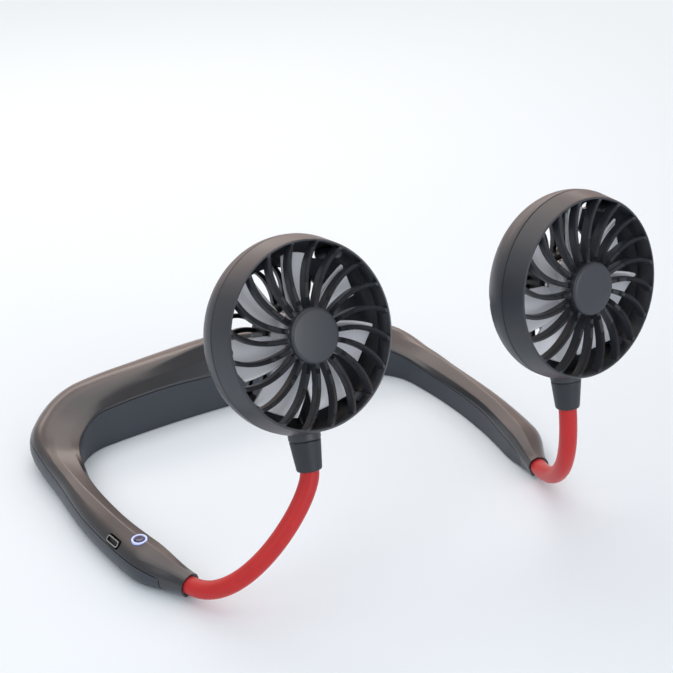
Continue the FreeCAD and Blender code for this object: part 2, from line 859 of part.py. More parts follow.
def make_rear_cover(name, frame):
    face = head_depth
    shoulder = (head_radius - rear_taper, rear_start + rear_straight)
    heel = (rear_face_radius, face)
    x, y, radius = circle_through(shoulder, rear_bulge, heel)
    share = (radius - head_wall) / radius
    inner = [(mix(x, spot[0], share), mix(y, spot[1], share)) for spot in (shoulder, rear_bulge, heel)]
    bowl = turned([
        (head_radius, rear_start), shoulder, rear_bulge + heel,
        (rear_opening_radius, face), (rear_opening_radius, inner[2][1]), inner[2], inner[1] + inner[0],
        (head_radius - head_wall, rear_start),
    ])
    inside = turned([
        (0, rear_start), (head_radius - head_wall, rear_start),
        inner[0], inner[1] + inner[2], (0, inner[2][1]),
    ])
    cup_radius = motor_radius + fit_clearance
    cup = fan_axis_cylinder(cup_radius + cup_wall, face - cup_depth, face)
    pocket_floor = motor_front + motor_length + end_cap_thickness + 2 * fit_clearance
    pocket = fan_axis_cylinder(cup_radius, face - cup_depth, pocket_floor)
    ribs = []
    for index in range(rib_count):
        base = 360.0 / rib_count * index
        rib_start = cup_radius + cup_wall / 2.0
        rib_end = rear_opening_radius + rib_bite
        rib_front = face - rear_rib_depth
        ribs.append(swept_rib(rib_start, rib_end, -rib_sweep, base, rib_front, rear_rib_depth))
    boss_foot = collar_height + boss_gap
    boss = Part.makeCylinder(boss_radius, boss_height + boss_reach, Vector(0, 0, boss_foot))
    posts = []
    for near, far in zip(head_screw_spots(rear_start), head_screw_spots(head_screw_seat + head_wall)):
        posts.append(cylinder(head_boss_radius, near, far))
    cover = bowl.multiFuse([cup, boss.cut(inside)] + ribs + posts).cut(pocket)
    lead_hole = Part.makeCylinder(lead_hole_radius, boss_height + boss_reach, Vector(0, 0, boss_foot))
    lead_gate = cylinder(
        motor_lead_radius + socket_clearance,
        Vector(0, motor_lead_back, collar_axis_z - cup_radius - 2 * cup_wall),
        Vector(0, motor_lead_back, collar_axis_z - motor_radius + motor_wall),
    )
    cover = cover.cut(lead_hole).cut(lead_gate)
    fronts = head_screw_spots(0)
    seats = head_screw_spots(head_screw_seat)
    backs = head_screw_spots(head_depth)
    for front, seat, back in zip(fronts, seats, backs):
        cover = cover.cut(cylinder(head_screw_radius + fit_clearance, front, seat))
        cover = cover.cut(cylinder(head_screw_head_radius + 2 * fit_clearance, seat, back))
    export(placed(cover, frame), name + "_rear_cover")


def make_head_screws(name, frame):
    screws = []
    seat_depth = head_screw_seat + rest_clearance / 2.0
    points = head_screw_spots(head_screw_point)
    seats = head_screw_spots(seat_depth)
    tops = head_screw_spots(seat_depth + head_screw_head_height)
    for point, seat, top in zip(points, seats, tops):
        shank = cylinder(head_screw_radius, point, seat)
        screws.append(shank.fuse(cylinder(head_screw_head_radius, seat, top)))
    export(placed(Part.makeCompound(screws), frame), name + "_head_screws")


def make_collar(name, frame):
    foot_middle = Vector(0, 0, 0)
    top_middle = Vector(0, 0, collar_height)
    bend_x, bend_z, side_x, side_z = rounded_corner(collar_foot_radius, 0, collar_round)
    body = revolve([
        foot_middle, Vector(collar_foot_radius - collar_round, 0, 0),
        (Vector(bend_x, 0, bend_z), Vector(side_x, 0, side_z)),
        Vector(collar_top_radius, 0, collar_height - collar_round),
        Vector(collar_top_radius, 0, collar_height), top_middle,
    ], foot_middle, UP)
    socket_top = Vector(0, 0, collar_height - socket_shoulder)
    socket = cylinder(sleeve_radius + socket_clearance, foot_middle, socket_top)
    throat = cylinder(core_radius + socket_clearance, foot_middle, top_middle)
    export(placed(body.cut(socket).cut(throat), frame), name + "_collar")


def make_motor(name, frame):
    can_back = motor_front + motor_length
    inner_radius = motor_radius - motor_wall
    nose_front = motor_front - motor_nose
    can = fan_axis_cylinder(motor_radius, motor_front, can_back)
    can = can.fuse(fan_axis_cylinder(motor_nose_radius, nose_front, motor_front))
    can = can.cut(fan_axis_cylinder(inner_radius, motor_front + motor_wall, can_back))
    can = can.cut(fan_axis_cylinder(bushing_radius + fit_clearance / 2.0, nose_front, can_back))
    lead_gate = cylinder(
        motor_lead_radius + socket_clearance,
        Vector(0, motor_lead_back, collar_axis_z - motor_radius - motor_wall),
        Vector(0, motor_lead_back, collar_axis_z - inner_radius + motor_wall),
    )
    export(placed(can.cut(lead_gate), frame), name + "_motor_can")

    cap_front = can_back + fit_clearance
    cap_back = cap_front + end_cap_thickness
    step_front = can_back - end_cap_thickness
    cap = fan_axis_cylinder(motor_radius, cap_front, cap_back)
    cap = cap.fuse(fan_axis_cylinder(motor_nose_radius, step_front, cap_back))
    bushing_floor = cap_back - end_cap_thickness / 3.0
    cap = cap.cut(fan_axis_cylinder(bushing_radius + fit_clearance / 2.0, step_front, bushing_floor))
    export(placed(cap, frame), name + "_motor_end_cap")

    bore = shaft_radius + running_clearance
    rear_bushing_back = bushing_floor - fit_clearance
    bushings = [
        fan_axis_tube(bushing_radius, bore, nose_front, nose_front + bushing_length),
        fan_axis_tube(bushing_radius, bore, step_front, rear_bushing_back),
    ]
    export(placed(Part.makeCompound(bushings), frame), name + "_shaft_bushings")

    rotor_front = nose_front + bushing_length + air_gap
    rotor_back = rotor_front + rotor_length
    magnet_outer = inner_radius - fit_clearance
    ring = fan_axis_tube(magnet_outer, magnet_outer - magnet_thickness, rotor_front, rotor_back)
    magnets = []
    for middle in (90.0, 270.0):
        corners = [on_head(0, 0, rotor_front)]
        for share in (-0.5, -0.25, 0.0, 0.25, 0.5):
            corners.append(on_head(2 * motor_radius, middle + share * magnet_arc, rotor_front))
        wedge = Part.Face(Part.makePolygon(corners + [corners[0]])).extrude(Vector(0, rotor_length, 0))
        magnets.append(ring.common(wedge))
    export(placed(Part.makeCompound(magnets), frame), name + "_motor_magnets")

    rotor = fan_axis_tube(rotor_radius, bore, rotor_front, rotor_back)
    for index in range(rotor_slots):
        angle = 360.0 / rotor_slots * index
        slot_ends = on_head(rotor_radius, angle, rotor_front), on_head(rotor_radius, angle, rotor_back)
        rotor = rotor.cut(cylinder(rotor_slot_radius, *slot_ends))
    export(placed(rotor, frame), name + "_motor_rotor")

    shaft_back = rear_bushing_back - fit_clearance
    shaft = fan_axis_cylinder(shaft_radius, shaft_front, shaft_back)
    export(placed(shaft, frame), name + "_motor_shaft")

    gate_z = collar_axis_z - motor_radius + motor_wall / 2.0
    turn_z = collar_height + boss_gap + boss_height + motor_lead_rise
    points = [
        Vector(0, 0, collar_height + boss_gap), Vector(0, 0, turn_z),
        Vector(0, motor_lead_back, turn_z + motor_lead_back), Vector(0, motor_lead_back, gate_z),
    ]
    edges, length, radii = rounded_path(points, [motor_lead_tangent, motor_lead_tangent])
    lead = swept_round(edges, length, motor_lead_radius, name + " motor lead")
    export(placed(lead, frame), name + "_motor_lead")


def blade_section(radius, chord, pitch, sweep):
    # A thin curved section across the blade at this radius, square to the blade's own spoke
    turn = math.radians(pitch)
    along = Vector(math.cos(turn), math.sin(turn), 0)
    across = Vector(-math.sin(turn), math.cos(turn), 0)
    middle = Vector(sweep, depth(blade_middle), collar_axis_z + radius)
    half = blade_thickness / 2.0
    ends = [middle - along * (chord / 2.0), middle + along * (chord / 2.0)]
    top = middle + across * (blade_camber + half)
    low = middle + across * (blade_camber - half)
    nib = across * (blade_thickness / 6.0)
    edges = [
        Part.Arc(ends[0] + nib, top, ends[1] + nib).toShape(),
        Part.makeLine(ends[1] + nib, ends[1] - nib),
        Part.Arc(ends[1] - nib, low, ends[0] - nib).toShape(),
        Part.makeLine(ends[0] - nib, ends[0] + nib),
    ]
    return Part.Wire(edges)


def make_impeller(name, frame):
    back = impeller_front + impeller_hub_length
    inner_radius = impeller_hub_radius - impeller_hub_wall
    inner_front = impeller_front + 2 * impeller_hub_wall
    boss_back = back - impeller_hub_wall
    hub = turned([
        (0, impeller_front), (impeller_hub_radius - impeller_round, impeller_front),
        rounded_corner(impeller_hub_radius, impeller_front, impeller_round),
        (impeller_hub_radius, back), (inner_radius, back), (inner_radius, inner_front),
        (impeller_boss_radius, inner_front), (impeller_boss_radius, boss_back), (0, boss_back),
    ])
    root = impeller_hub_radius - blade_bite
    sections = []
    for out in (0.0, 0.5, 1.0):
        twist = math.sqrt(out)
        chord = mix(blade_root_chord, blade_tip_chord, twist)
        pitch = mix(blade_root_pitch, blade_tip_pitch, twist)
        radius = mix(root, impeller_radius, out)
        sections.append(blade_section(radius, chord, pitch, blade_sweep * out * out))
    blade = Part.makeLoft(sections, True, False)
    blades = []
    for index in range(blade_count):
        copy = blade.copy()
        copy.rotate(Vector(0, 0, collar_axis_z), Vector(0, 1, 0), 360.0 / blade_count * index)
        blades.append(copy)
    limit_bore = impeller_hub_radius - impeller_hub_wall / 2.0
    limit = fan_axis_tube(impeller_radius, limit_bore, impeller_front, back + rib_depth)
    impeller = hub.multiFuse([blade.common(limit) for blade in blades])
    bore = fan_axis_cylinder(shaft_radius + running_clearance, shaft_front - rest_clearance, back)
    export(placed(impeller.cut(bore), frame), name + "_impeller")


def print_joints(name, pose):
    # Points and axes of the arm's joints
    spot, way = tip_frame(pose["side"])
    frame = head_frame(pose)
    up = frame.Rotation.multVec(UP)
    side = frame.Rotation.multVec(Vector(1, 0, 0))
    blow = frame.Rotation.multVec(Vector(0, -1, 0))
    bend_low = spot + way * (pose["reaches"][0] / 2.0)
    bend_high = frame.Base - up * (pose["reaches"][1] / 2.0)
    hub = frame.multVec(Vector(0, depth(0), collar_axis_z))
    labels = ["bend_low", "way", "bend_high", "side", "blow", "hub", "up"]
    for label, value in zip(labels, [bend_low, way, bend_high, side, blow, hub, up]):
        print(name, label, "%.4f %.4f %.4f" % tuple(value))


def print_button():
    frame = button_frame()
    axis = frame.Rotation.multVec(UP)
    print("button spot %.3f %.3f %.3f" % tuple(frame.Base))
    print("button axis %.4f %.4f %.4f" % tuple(axis))


os.makedirs("parts", exist_ok=True)
make_neckband()
make_screws()
make_cells()
make_boards()
make_button()
print_button()
make_harness()
for arm_name, arm_pose in arm_poses.items():
    make_arm(arm_name, arm_pose)
    arm_frame = head_frame(arm_pose)
    make_front_cover(arm_name, arm_frame)
    make_rear_cover(arm_name, arm_frame)
    make_head_screws(arm_name, arm_frame)
    make_collar(arm_name, arm_frame)
    make_motor(arm_name, arm_frame)
    make_impeller(arm_name, arm_frame)
    print_joints(arm_name, arm_pose)
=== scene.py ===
import math

import bmesh
import bpy
from mathutils import Matrix, Vector


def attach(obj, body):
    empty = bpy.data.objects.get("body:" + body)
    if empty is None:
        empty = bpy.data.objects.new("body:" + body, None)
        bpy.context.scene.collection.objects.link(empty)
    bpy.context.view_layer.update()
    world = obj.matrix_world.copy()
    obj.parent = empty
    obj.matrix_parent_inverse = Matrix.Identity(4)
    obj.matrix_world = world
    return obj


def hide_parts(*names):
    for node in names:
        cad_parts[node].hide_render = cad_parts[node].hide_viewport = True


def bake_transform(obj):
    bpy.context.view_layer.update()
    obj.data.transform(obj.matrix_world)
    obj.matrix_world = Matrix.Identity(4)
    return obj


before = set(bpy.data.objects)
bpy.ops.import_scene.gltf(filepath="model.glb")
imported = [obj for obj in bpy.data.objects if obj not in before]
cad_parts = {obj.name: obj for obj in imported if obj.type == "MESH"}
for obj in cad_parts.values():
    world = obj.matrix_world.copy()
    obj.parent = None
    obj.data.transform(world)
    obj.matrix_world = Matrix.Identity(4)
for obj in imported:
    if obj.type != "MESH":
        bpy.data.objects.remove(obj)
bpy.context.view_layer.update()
scene = bpy.context.scene
scene.view_settings.view_transform = "Standard"
mm = 0.001
mergeGap = 0.001
toMetres = Matrix.Scale(mm, 4)
yAxis = Vector((0, 1, 0))
zAxis = Vector((0, 0, 1))
layOnY = Matrix.Rotation(math.pi / 2, 4, "X")
print("frame loaded,", len(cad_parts), "nodes")

# camera at the photograph's viewing angle, looking down at the front left of the fan
cameraSettings = {"place": (-0.2723, -0.5573, 0.3385), "tilt": 63.77, "turn": -31.08,
                  "lens": 76.92, "sensor": 36.0}
cameraData = bpy.data.cameras.new("studioCamera")
cameraData.lens = cameraSettings["lens"]
cameraData.sensor_width = cameraSettings["sensor"]
camera = bpy.data.objects.new("studioCamera", cameraData)
camera.location = cameraSettings["place"]
camera.rotation_euler = (math.radians(cameraSettings["tilt"]), 0, math.radians(cameraSettings["turn"]))
scene.collection.objects.link(camera)
scene.camera = camera


def linear(hexColour):
    channels = [int(hexColour[i:i + 2], 16) / 255 for i in (1, 3, 5)]
    return tuple(c / 12.92 if c <= 0.04045 else ((c + 0.055) / 1.055) ** 2.4 for c in channels) + (1.0,)


def emptyTree(owner):
    owner.use_nodes = True
    owner.node_tree.nodes.clear()
    return owner.node_tree


def addNode(tree, kind, values=None, links=None, **settings):
    node = tree.nodes.new(kind)
    for name, value in settings.items():
        setattr(node, name, value)
    for name, value in (values or {}).items():
        node.inputs[name].default_value = value
    for name, source in (links or {}).items():
        tree.links.new(source, node.inputs[name])
    return node


noise = {"grainDetail": 4.0, "cloudDetail": 2.0, "cloudBand": (0.3, 0.7)}


def surface(name, look):
    # colour clouds over a fine grain: the grain lifts the surface, the clouds shift tint and gloss
    material = bpy.data.materials.new(name)
    tree = emptyTree(material)
    place = addNode(tree, "ShaderNodeTexCoord").outputs["Object"]
    stretch = addNode(tree, "ShaderNodeMapping", {"Scale": look.get("stretch", (1, 1, 1))},
                      {"Vector": place})
    grain = addNode(tree, "ShaderNodeTexNoise",
                    {"Scale": 1 / (look["grainMm"] * mm), "Detail": noise["grainDetail"]},
                    {"Vector": stretch.outputs["Vector"]})
    cloud = addNode(tree, "ShaderNodeTexNoise",
                    {"Scale": 1 / (look["cloudMm"] * mm), "Detail": noise["cloudDetail"]},
                    {"Vector": place}).outputs["Fac"]
    relief = addNode(tree, "ShaderNodeBump",
                     {"Strength": look["relief"], "Distance": look["reliefMm"] * mm},
                     {"Height": grain.outputs["Fac"]})
    # a Mix node's colour sockets share their names with others, so they are counted: 6 and 7 in, 2 out
    tint = addNode(tree, "ShaderNodeMix", {6: linear(look["deep"]), 7: linear(look["pale"])}, {0: cloud},
                   data_type="RGBA")
    rough = addNode(tree, "ShaderNodeMapRange",
                    {"From Min": noise["cloudBand"][0], "From Max": noise["cloudBand"][1],
                     "To Min": look["gloss"][0], "To Max": look["gloss"][1]}, {"Value": cloud})
    shader = addNode(tree, "ShaderNodeBsdfPrincipled", look.get("shader"),
                     {"Base Color": tint.outputs[2], "Roughness": rough.outputs["Result"],
                      "Normal": relief.outputs["Normal"]})
    addNode(tree, "ShaderNodeOutputMaterial", {}, {"Surface": shader.outputs["BSDF"]})
    return material


finishes = {
    # polished mould, so broad clean reflections with a faint ripple of the moulding flow
    "glossMouldedAbs": {"deep": "#26272b", "pale": "#2c2d32", "grainMm": 9.0, "cloudMm": 30.0,
                        "gloss": (0.285, 0.33), "relief": 0.03, "reliefMm": 0.3,
                        "shader": {"IOR": 1.56, "Coat Weight": 0.25, "Coat Roughness": 0.2}},
    # spark-eroded mould: an even matt grain, drawn three times coarser than the real 0.15 mm
    "sparkGrainAbs": {"deep": "#2b3038", "pale": "#333944", "grainMm": 0.45, "cloudMm": 25.0,
                      "gloss": (0.34, 0.4), "relief": 0.12, "reliefMm": 0.08, "shader": {"IOR": 1.53}},
    # satin mould: soft highlights along the rim and the ribs
    "satinMouldedAbs": {"deep": "#2d3036", "pale": "#35383f", "grainMm": 0.6, "cloudMm": 18.0,
                        "gloss": (0.34, 0.42), "relief": 0.1, "reliefMm": 0.06, "shader": {"IOR": 1.53}},
    # darker inner mouldings and collars
    "darkMouldedAbs": {"deep": "#1b1f26", "pale": "#21262e", "grainMm": 0.5, "cloudMm": 12.0,
                       "gloss": (0.4, 0.48), "relief": 0.12, "reliefMm": 0.06, "shader": {"IOR": 1.53}},
    # extruded silicone: skin-like satin with a dusty sheen at the edges
    "extrudedRedSilicone": {"deep": "#b21c1e", "pale": "#c42727", "grainMm": 0.7, "cloudMm": 9.0,
                            "gloss": (0.42, 0.5), "relief": 0.12, "reliefMm": 0.08,
                            "shader": {"IOR": 1.42, "Sheen Weight": 0.15, "Sheen Roughness": 0.4,
                                       "Subsurface Weight": 0.08, "Subsurface Scale": 0.001}},
    # milky moulded polypropylene: pale, waxy gloss with faint flow lines along the blades
    "milkyPolypropylene": {"deep": "#e6e8ee", "pale": "#f0f2f6", "grainMm": 4.0, "cloudMm": 10.0,
                           "gloss": (0.14, 0.2), "relief": 0.06, "reliefMm": 0.1,
                           "shader": {"IOR": 1.49, "Coat Weight": 0.3}},
    # opal diffuser ring, lit from below by blue-white lamps
    "opalDiffuser": {"deep": "#b4bff2", "pale": "#cdd6fb", "grainMm": 0.5, "cloudMm": 2.5,
                     "gloss": (0.28, 0.33), "relief": 0.05, "reliefMm": 0.05,
                     "shader": {"IOR": 1.5, "Emission Color": linear("#a9bcff"), "Emission Strength": 0.4}},
    # tinted button cap, glossy; its deep blue base colour is painted light from the lamp underneath
    "tintedButtonPaintedLampLight": {"deep": "#171d46", "pale": "#222a5e", "grainMm": 0.8, "cloudMm": 2.0,
                            "gloss": (0.12, 0.18), "relief": 0.04, "reliefMm": 0.05,
                            "shader": {"IOR": 1.49}},
    # tumbled nickel plate: bright with a soft pebble
    "tumbledNickelPlate": {"deep": "#a9a8a4", "pale": "#c4c3bf", "grainMm": 0.4, "cloudMm": 3.0,
                           "gloss": (0.18, 0.26), "relief": 0.08, "reliefMm": 0.03,
                           "shader": {"Metallic": 1.0}},
    # rolled strip of the gooseneck hose, faint draw lines
    "rolledHoseSteel": {"deep": "#77787a", "pale": "#8c8d8f", "grainMm": 0.5, "cloudMm": 5.0,
                        "gloss": (0.3, 0.4), "relief": 0.15, "reliefMm": 0.05, "stretch": (1, 1, 4),
                        "shader": {"Metallic": 1.0}},
    # sintered bearing brass, slightly porous
    "sinteredBrass": {"deep": "#9a7a3c", "pale": "#b3914d", "grainMm": 0.3, "cloudMm": 2.0,
                      "gloss": (0.35, 0.45), "relief": 0.2, "reliefMm": 0.04, "shader": {"Metallic": 1.0}},
    # varnished copper windings
    "varnishedCopper": {"deep": "#8f4a24", "pale": "#b06536", "grainMm": 0.35, "cloudMm": 2.0,
                        "gloss": (0.28, 0.38), "relief": 0.4, "reliefMm": 0.08, "stretch": (1, 4, 1),
                        "shader": {"Metallic": 1.0, "Coat Weight": 0.5}},
    # pressed ferrite: dull dark ceramic
    "pressedFerrite": {"deep": "#26272a", "pale": "#303134", "grainMm": 0.3, "cloudMm": 3.0,
                       "gloss": (0.55, 0.65), "relief": 0.3, "reliefMm": 0.05, "shader": {"IOR": 1.9}},
    # aluminium laminate foil of a pouch cell: satin silver with small creases
    "laminateFoil": {"deep": "#b4b6b8", "pale": "#cfd1d3", "grainMm": 2.5, "cloudMm": 8.0,
                     "gloss": (0.28, 0.4), "relief": 0.35, "reliefMm": 0.2, "shader": {"Metallic": 1.0}},
    # green solder mask over woven glass laminate
    "solderMaskLaminate": {"deep": "#0f4a2c", "pale": "#156038", "grainMm": 0.8, "cloudMm": 6.0,
                           "gloss": (0.28, 0.35), "relief": 0.1, "reliefMm": 0.05, "shader": {"IOR": 1.5}},
    # soft extruded insulation of the leads
    "extrudedLeadPvc": {"deep": "#17181a", "pale": "#202124", "grainMm": 0.6, "cloudMm": 4.0,
                        "gloss": (0.35, 0.45), "relief": 0.1, "reliefMm": 0.05, "shader": {"IOR": 1.53}},
}
looks = {name: surface(name, look) for name, look in finishes.items()}
print("materials made,", len(looks))

# every carried-over node by its ending, with the finish it is made in
nodeLooks = {
    "upper_cover": "glossMouldedAbs", "lower_cover": "sparkGrainAbs", "front_cover": "satinMouldedAbs",
    "rear_cover": "satinMouldedAbs", "collar": "darkMouldedAbs",
    "gooseneck_sleeve": "extrudedRedSilicone", "gooseneck_core": "rolledHoseSteel",
    "arm_lead": "extrudedLeadPvc", "motor_lead": "extrudedLeadPvc", "wire_harness": "extrudedLeadPvc",
    "impeller": "milkyPolypropylene", "light_ring": "opalDiffuser", "power_button": "tintedButtonPaintedLampLight",
    "switch_plunger": "darkMouldedAbs", "tact_switch": "darkMouldedAbs", "usb_socket": "tumbledNickelPlate",
    "cover_screws": "tumbledNickelPlate", "head_screws": "tumbledNickelPlate",
    "tip_ferrule": "tumbledNickelPlate", "motor_can": "tumbledNickelPlate",
    "motor_shaft": "rolledHoseSteel", "motor_end_cap": "darkMouldedAbs", "shaft_bushings": "sinteredBrass",
    "motor_rotor": "varnishedCopper", "motor_magnets": "pressedFerrite", "left_cell": "laminateFoil",
    "right_cell": "laminateFoil", "circuit_board": "solderMaskLaminate", "key_board": "solderMaskLaminate",
}
for nodeName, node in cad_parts.items():
    ending = next(end for end in nodeLooks if nodeName.endswith(end))
    node.data.materials.clear()
    node.data.materials.append(looks[nodeLooks[ending]])


def takeMesh(name, bm):
    mesh = bpy.data.meshes.new(name)
    bm.to_mesh(mesh)
    bm.free()
    return mesh


def addMesh(bm, mesh):
    bm.from_mesh(mesh)
    bpy.data.meshes.remove(mesh)


def joinInto(bm, part):
    addMesh(bm, takeMesh("join", part))


def bakedMesh(obj):
    # what the object looks like with its modifiers or its curve's thickness
    return bpy.data.meshes.new_from_object(obj.evaluated_get(bpy.context.evaluated_depsgraph_get()))


def dressMesh(name, mesh, body, look, stands=(), corner=40):
    # body is None for a piece that is attached to no body
    for face in mesh.polygons:
        face.use_smooth = True
        face.material_index = 0
    mesh.set_sharp_from_angle(angle=math.radians(corner))
    mesh.materials.clear()
    mesh.materials.append(looks[look])
    piece = bpy.data.objects.new(name, mesh)
    scene.collection.objects.link(piece)
    weighted = piece.modifiers.new("flatFaces", "WEIGHTED_NORMAL")
    weighted.keep_sharp = True
    if body:
        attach(piece, body)
    if stands:
        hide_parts(*stands)
    return piece


def newPiece(name, bm, body, look, stands=(), place=toMetres, corner=40):
    bm.transform(place)
    bmesh.ops.recalc_face_normals(bm, faces=bm.faces)
    return dressMesh(name, takeMesh(name, bm), body, look, stands, corner)


def cutAway(mesh, cutter):
    # difference of two closed meshes, both removed from the scene afterwards
    bmesh.ops.recalc_face_normals(cutter, faces=cutter.faces)
    stock = bpy.data.objects.new("stock", mesh)
    tool = bpy.data.objects.new("tool", takeMesh("cutter", cutter))
    scene.collection.objects.link(stock)
    scene.collection.objects.link(tool)
    cut = stock.modifiers.new("cut", "BOOLEAN")
    cut.operation = "DIFFERENCE"
    cut.solver = "MANIFOLD"
    cut.object = tool
    made = bakedMesh(stock)
    for obj in (stock, tool):
        data = obj.data
        bpy.data.objects.remove(obj)
        bpy.data.meshes.remove(data)
    return made


def roundEdges(bm, edges, offset, segments):
    bmesh.ops.bevel(bm, geom=edges, offset=offset, offset_type="OFFSET", segments=segments, profile=0.5,
                    affect="EDGES", material=-1, clamp_overlap=True)


def soften(bm, offset, segments, angle):
    # rounds every edge that is sharper than the angle, in degrees
    sharp = [edge for edge in bm.edges
             if edge.is_manifold and edge.calc_face_angle(0) > math.radians(angle)]
    roundEdges(bm, sharp, offset, segments)


def roundedBlock(size, front, rounding, segments):
    # block behind its front face, with its edges along Y rounded
    bm = bmesh.new()
    middle = Matrix.Translation((0, front - size[1] / 2, 0))
    bmesh.ops.create_cube(bm, size=1.0, matrix=middle @ Matrix.Diagonal(size + (1,)))
    alongY = [edge for edge in bm.edges if abs((edge.verts[0].co - edge.verts[1].co).y) > size[1] / 2]
    roundEdges(bm, alongY, rounding, segments)
    return bm


def addCylinder(bm, radius, depth, steps, place):
    bmesh.ops.create_cone(bm, cap_ends=True, segments=steps, radius1=radius, radius2=radius, depth=depth,
                          matrix=place)


def spunOutline(outline, axis, steps, closed=True):
    # solid of revolution from points as (radius, place along the axis)
    bm = bmesh.new()
    verts = [bm.verts.new(Vector((radius, 0, 0)) + axis * along) for radius, along in outline]
    edges = [bm.edges.new(pair) for pair in zip(verts, verts[1:])]
    if closed:
        edges.append(bm.edges.new((verts[-1], verts[0])))
    bmesh.ops.spin(bm, geom=verts + edges, cent=(0, 0, 0), axis=axis, dvec=(0, 0, 0), angle=2 * math.pi,
                   steps=steps, use_merge=True)
    bmesh.ops.remove_doubles(bm, verts=bm.verts, dist=mergeGap)
    return bm


def spinCopies(bm, count):
    bmesh.ops.spin(bm, geom=bm.verts[:] + bm.edges[:] + bm.faces[:], cent=(0, 0, 0), axis=yAxis,
                   dvec=(0, 0, 0), angle=2 * math.pi * (count - 1) / count, steps=count - 1,
                   use_duplicate=True)


def newCurve(name, radius, sizes):
    curve = bpy.data.curves.new(name, "CURVE")
    curve.dimensions = "3D"
    curve.resolution_u = sizes["curveSteps"]
    curve.bevel_depth = radius * mm
    curve.bevel_resolution = sizes["roundSteps"]
    curve.use_fill_caps = True
    return curve


def curveMesh(curve):
    holder = bpy.data.objects.new(curve.name, curve)
    scene.collection.objects.link(holder)
    mesh = bakedMesh(holder)
    bpy.data.objects.remove(holder)
    bpy.data.curves.remove(curve)
    return mesh


def mix(start, end, share):
    return start + (end - start) * share


def ease(start, end, value):
    share = min(max((value - start) / (end - start), 0.0), 1.0)
    return share * share * (3 - 2 * share)


def circleThrough(first, second, third):
    (ax, ay), (bx, by), (cx, cy) = first, second, third
    area = 2 * (ax * (by - cy) + bx * (cy - ay) + cx * (ay - by))
    a, b, c = (x * x + y * y for x, y in (first, second, third))
    x = (a * (by - cy) + b * (cy - ay) + c * (ay - by)) / area
    y = (a * (cx - bx) + b * (ax - cx) + c * (bx - ax)) / area
    return x, y, math.hypot(ax - x, ay - y)


# neckband, millimetres: plan arcs along the foot of the inner wall, then cross-sections as (out, up):
# inner foot, lip, crease, inner ridge, outer ridge, bulge, outer foot
band = {
    "backRadius": 458.0, "backRun": 66.4, "cornerRadius": 25.0, "armRadius": 235.0, "armRun": 103.0,
    "toeIn": 17.0, "innerWallY": -7.5, "footTrim": 0.4, "lipDrop": 0.8, "wall": 1.8, "tipWall": 0.9,
    "tipWallBand": (9.0, 18.0), "trayStop": 10.0, "runSlack": 0.01,
    "sections": (
        ((0, 0), (0.9, 19), (4.5, 26.3), (9.1, 31.9), (10.5, 32.3), (26.5, 11), (15, 0)),
        ((0, 0), (1.3, 20), (4.6, 24.9), (9.0, 27.7), (10.3, 28), (28, 9), (16, 0)),
        ((0, 0), (1.0, 19.1), (4.6, 21.6), (8.6, 23.5), (10, 23.7), (28.5, 6.8), (16.5, 0)),
        ((0, 0), (0, 15.5), (4.6, 17), (10.6, 18), (12.5, 18.1), (25.5, 6.2), (15.5, 0)),
        ((0, 0), (0.3, 12.3), (3.0, 13.5), (10.5, 15), (13.3, 14.4), (17.4, 6.8), (14, 0)),
        ((0, 0), (1.4, 10.2), (2.8, 12.5), (8.9, 14.8), (11.9, 13.6), (15.2, 6.9), (13.2, 0)),
        ((0, 0), (1.4, 10.2), (2.5, 12.9), (7.2, 14.9), (10.8, 13.9), (16, 7), (13, 0)),
    ),
    "fore": ((0, 0), (0.5, 9), (1.6, 12.6), (6.6, 14.35), (11.4, 13.2), (16.8, 7), (13, 0)),
    "tip": ((3.2, 2.2), (1.2, 6.4), (2.2, 9.6), (4.8, 11.2), (7.6, 10.7), (10.7, 6.6), (8.2, 2.2)),
    "joints": (15.0, 14.4, 13.8, 12.6, 10.8, 9.8, 9.4), "tipJoint": 6.4,
    "flankRun": 36.0, "bendRun": 20.0, "foreStart": 52.0, "foreEnd": 24.0,
    "lipParts": 3, "creaseParts": 3, "ridgeParts": 2, "upperArc": 10, "lowerArc": 6,
    "softPull": (0.5, -0.52), "softPairs": 15, "softFrom": (40.0, 58.0), "softTo": (80.0, 100.0),
    "creaseRound": 0.8, "creaseSegments": 3, "corner": 32,
    "rimGap": 0.35, "rimRound": 0.4, "rimSegments": 2, "rimAngle": 50,
    "stationsBack": 14, "stationsCorner": 20, "stationsArm": 34, "stationsTip": 5,
}
cornerTurn = math.radians(90 + band["toeIn"]) - band["backRun"] / band["backRadius"] \
    - band["armRun"] / band["armRadius"]
planArcs = ((band["backRadius"], band["backRun"]),
            (band["cornerRadius"], cornerTurn * band["cornerRadius"]),
            (band["armRadius"], band["armRun"]))
cornerEnd = planArcs[0][1] + planArcs[1][1]
tipRun = cornerEnd + band["armRun"]
trayEnd = tipRun - band["trayStop"]
# where along the band each of the cross-sections lies
sectionRuns = (0, band["flankRun"], band["backRun"], (band["backRun"] + cornerEnd) / 2, cornerEnd,
               cornerEnd + band["bendRun"], tipRun - band["foreStart"])


def planFrame(run):
    # point on the foot of the inner wall, and the level direction out from it
    side = 1 if run >= 0 else -1
    left = abs(run)
    heading = 0.0
    spot = Vector((0, band["innerWallY"], 0))
    inward = Vector((0, -1, 0))
    for radius, length in planArcs:
        step = min(left, length)
        centre = spot + inward * radius
        heading += step / radius
        inward = Vector((-math.sin(heading), -math.cos(heading), 0))
        spot = centre - inward * radius
        left -= step
    return Vector((spot.x * side, spot.y, 0)), Vector((-inward.x * side, -inward.y, 0))


